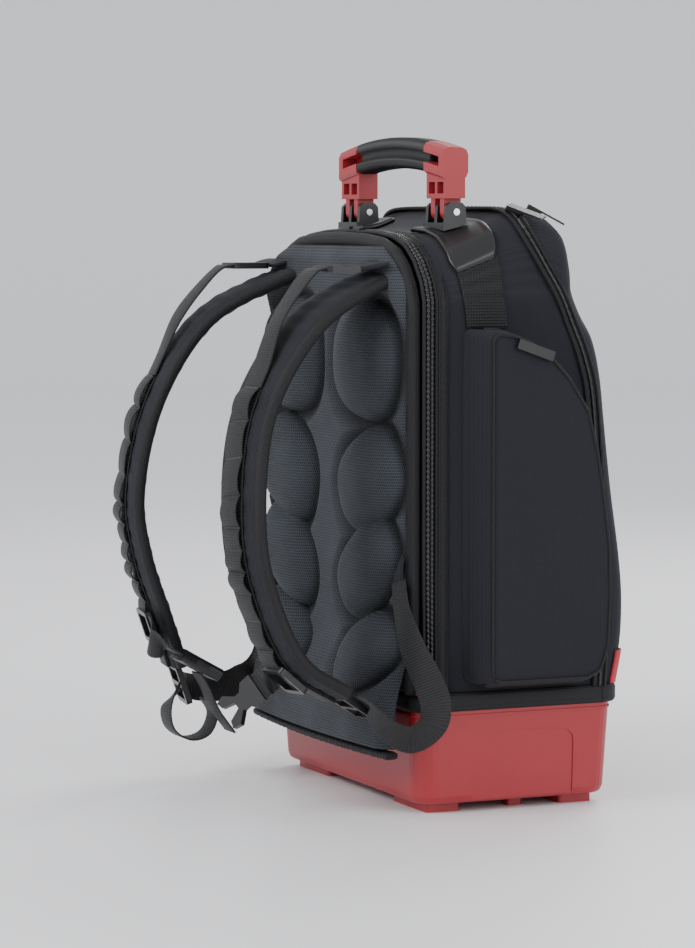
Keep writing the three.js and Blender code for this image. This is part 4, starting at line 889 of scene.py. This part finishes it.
def skin_piece(name, side, y_low, y_high, route, lift, thickness, material, *replaced):
    """Patch on the side and shoulder. route runs from the wall's height in millimetres, below the
    shoulder, on to shares of the half width; y_low and y_high are its edges at each step."""
    across = np.linspace(0, 1, 31)[None]
    y = y_low[:, None] * (1 - across) + y_high[:, None] * across
    share = np.where(route > 1, 1.0, route)[:, None] + 0 * y
    grid = body_points(y, roof_height(y), share)
    grid[..., 2] = np.where(route[:, None] > 1, route[:, None], grid[..., 2])
    normal = np.cross(np.gradient(grid, axis=0), np.gradient(grid, axis=1))
    normal /= np.maximum(np.linalg.norm(normal, axis=-1, keepdims=True), 1e-9)
    normal *= np.where(normal[..., :1] * 1 + normal[..., 2:] > 0, 1, -1)
    down = np.linspace(0, 1, len(route))[:, None] * (len(route) - 1)
    edge = np.minimum(np.minimum(across, 1 - across) * 30, np.minimum(down, len(route) - 1 - down))
    grid = grid + normal * (lift(edge))[..., None]
    faces = grid_faces(*grid.shape[:2])
    piece = mesh_of(name, placed(grid.reshape(-1, 3) * [side, 1, 1]), faces if side > 0 else faces[:, ::-1], material)
    merge(piece)
    solid = piece.modifiers.new("wall", "SOLIDIFY")
    solid.thickness, solid.offset = thickness * MM, -1
    ride_soft(piece, *replaced)


def add_skin_pieces(name, side):
    """Webbing up the side, the moulded patch above it and the red tabs by the band."""
    low = np.concatenate([np.linspace(392.5, 414.9, 12), np.linspace(0.999, 0.93, 14)])
    down = np.linspace(0, 1, len(low))
    skin_piece(f"side_band_{name}", side, -47 - 7 * down, -11 - 7 * down, low,
               lambda edge: 1.9 + 0 * edge, 1.7, WEBBING_SIDE, f"side_webbing_{name}")
    high = np.linspace(0.955, 0.405, 34)
    down = np.arange(34)
    tuck = 4.5 * np.clip(1 - down / 3, 0, 1) ** 1.5
    skin_piece(f"patch_{name}", side, -57 + tuck, -15 - tuck, high,
               lambda edge: 2.6 + 1.5 * smoothstep(edge, 0, 1.2) - 0.9 * smoothstep(edge, 2.2, 3.6), 3.4,
               PLASTIC, f"handle_patch_{name}")
    z = np.linspace(98.8, 125.6, 10)
    place = np.stack([np.full(10, side * 149.9), np.full(10, -83.5), z], -1)
    across, normal = cord_frame(place, np.array([float(side), 0, 0]))
    ride_soft(sweep(f"red_tag_{name}", place, across, normal, rounded_bar(17, -0.7, 0.7, 5), RED_TAB),
              f"zip_tab_{name}")
    share = np.linspace(0.838, 0.985, 18)[None]
    front = outline(FRONT_PROFILE, 240)
    y = np.interp(z, front[:60, 1], front[:60, 0])[:, None]
    grid = body_points(y + 0 * share, z[:, None] + 0 * share, share + 0 * y) + [0.9, 1.1, 0]
    faces = grid_faces(*grid.shape[:2])
    piece = mesh_of(f"red_corner_{name}", placed(grid.reshape(-1, 3) * [side, 1, 1]), faces, RED_TAB)
    merge(piece)
    solid = piece.modifiers.new("wall", "SOLIDIFY")
    solid.thickness, solid.offset = 1.4 * MM, 0
    ride_soft(piece, f"front_tab_{name}")


def add_band():
    """Woven band over the tray's rim, with a row of stitches near each edge."""
    turn = np.linspace(0, math.pi / 2, 9)
    half_x, half_y, radius = 148.0, 91.14, 17.5
    corners = [np.stack([(half_x - radius) * sx + radius * np.cos(turn + start),
                         (half_y - radius) * sy + radius * np.sin(turn + start)], -1)
               for sx, sy, start in ((1, 1, 0), (-1, 1, math.pi / 2), (-1, -1, math.pi), (1, -1, 1.5 * math.pi))]
    loop = np.vstack(corners + [corners[0][:1]])
    loop = resample(np.stack([loop[:, 0], loop[:, 1] + 1.34, np.full(len(loop), 91.3)], -1), 480)
    across, normal = cord_frame(loop, np.array([0, 0, 1.0]))
    section = turned(rounded_bar(15.4, -3.5, 3.5, 7))
    ride_soft(sweep("rim_band", loop, across, normal, section, TRIM), "base_band")
    for rise in (-3.6, 3.6):
        stitch = (0.34 + 0.2 * np.sin(np.arange(480) * 1.3))[:, None, None] * circle(1.0, 4)[None]
        sign = np.sign((across[0] * [1, 0, 0]).sum())
        place = loop + across * sign * 3.3 + [0, 0, rise]
        ride_soft(sweep(f"band_stitch_{'high' if rise > 0 else 'low'}", place, across, normal, stitch, TRIM),
                  slot="black_fabric")


# Handle

def add_grip():
    """Ribbed rubber grip: the solids' section carried along the arch, with ribs a millimetre high.
    The channel on the wearer's side stays open."""
    x = np.linspace(-GRIP_HALF, GRIP_HALF, 340)
    sink = GRIP_ARCH * (x / LEG_OUTER) ** 2
    place = np.stack([x, np.full_like(x, PIVOT_Y), PIVOT_Z + GRIP_TOP - GRIP_HEIGHT / 2 - sink], -1)
    half, tall, r = GRIP_DEPTH / 2 - 0.6, GRIP_HEIGHT / 2 - 0.6, 6.0
    turn = np.linspace(0, math.pi / 2, 6)
    corner = lambda cx, cz, start: np.stack([cx + r * np.cos(turn + start), cz + r * np.sin(turn + start)], -1)
    section = np.vstack([
        corner(half - r, tall - r, 0), corner(r - half, tall - r, math.pi / 2),
        [[-half, 4.0], [-half + 5, 4.0], [-half + 5, -4.0], [-half, -4.0]],
        corner(r - half, r - tall, math.pi), corner(half - r, r - tall, 1.5 * math.pi),
    ])
    ribs = 1 + 0.045 * np.sin(x * 2 * math.pi / 3.4)
    across = np.tile([0, 1.0, 0], (len(x), 1))
    normal = np.tile([0, 0, 1.0], (len(x), 1))
    piece = sweep("grip_rubber", place, across, normal, section[None] * ribs[:, None, None], RUBBER)
    ride_soft(piece, "handle_grip", body="handle")


# Everything

def dress_nodes():
    """Each solid that stays takes the finish of its slot."""
    for part in frame["record"]["subparts"]:
        solid = NODES[part["node"]]
        solid.data.materials.clear()
        solid.data.materials.append(LOOKS[part["material_slot"]])


add_camera()
add_studio()
dress_nodes()
add_body()
add_seam()
add_rear_zip()
add_back_pad()
add_pad_binding()
add_band()
for label, way in (("left", 1), ("right", -1)):
    add_side_pocket(label, way)
    add_strap(label, way)
    add_skin_pieces(label, way)
    strap_end = add_harness(label, way)
add_tails(*strap_end)
add_grip()
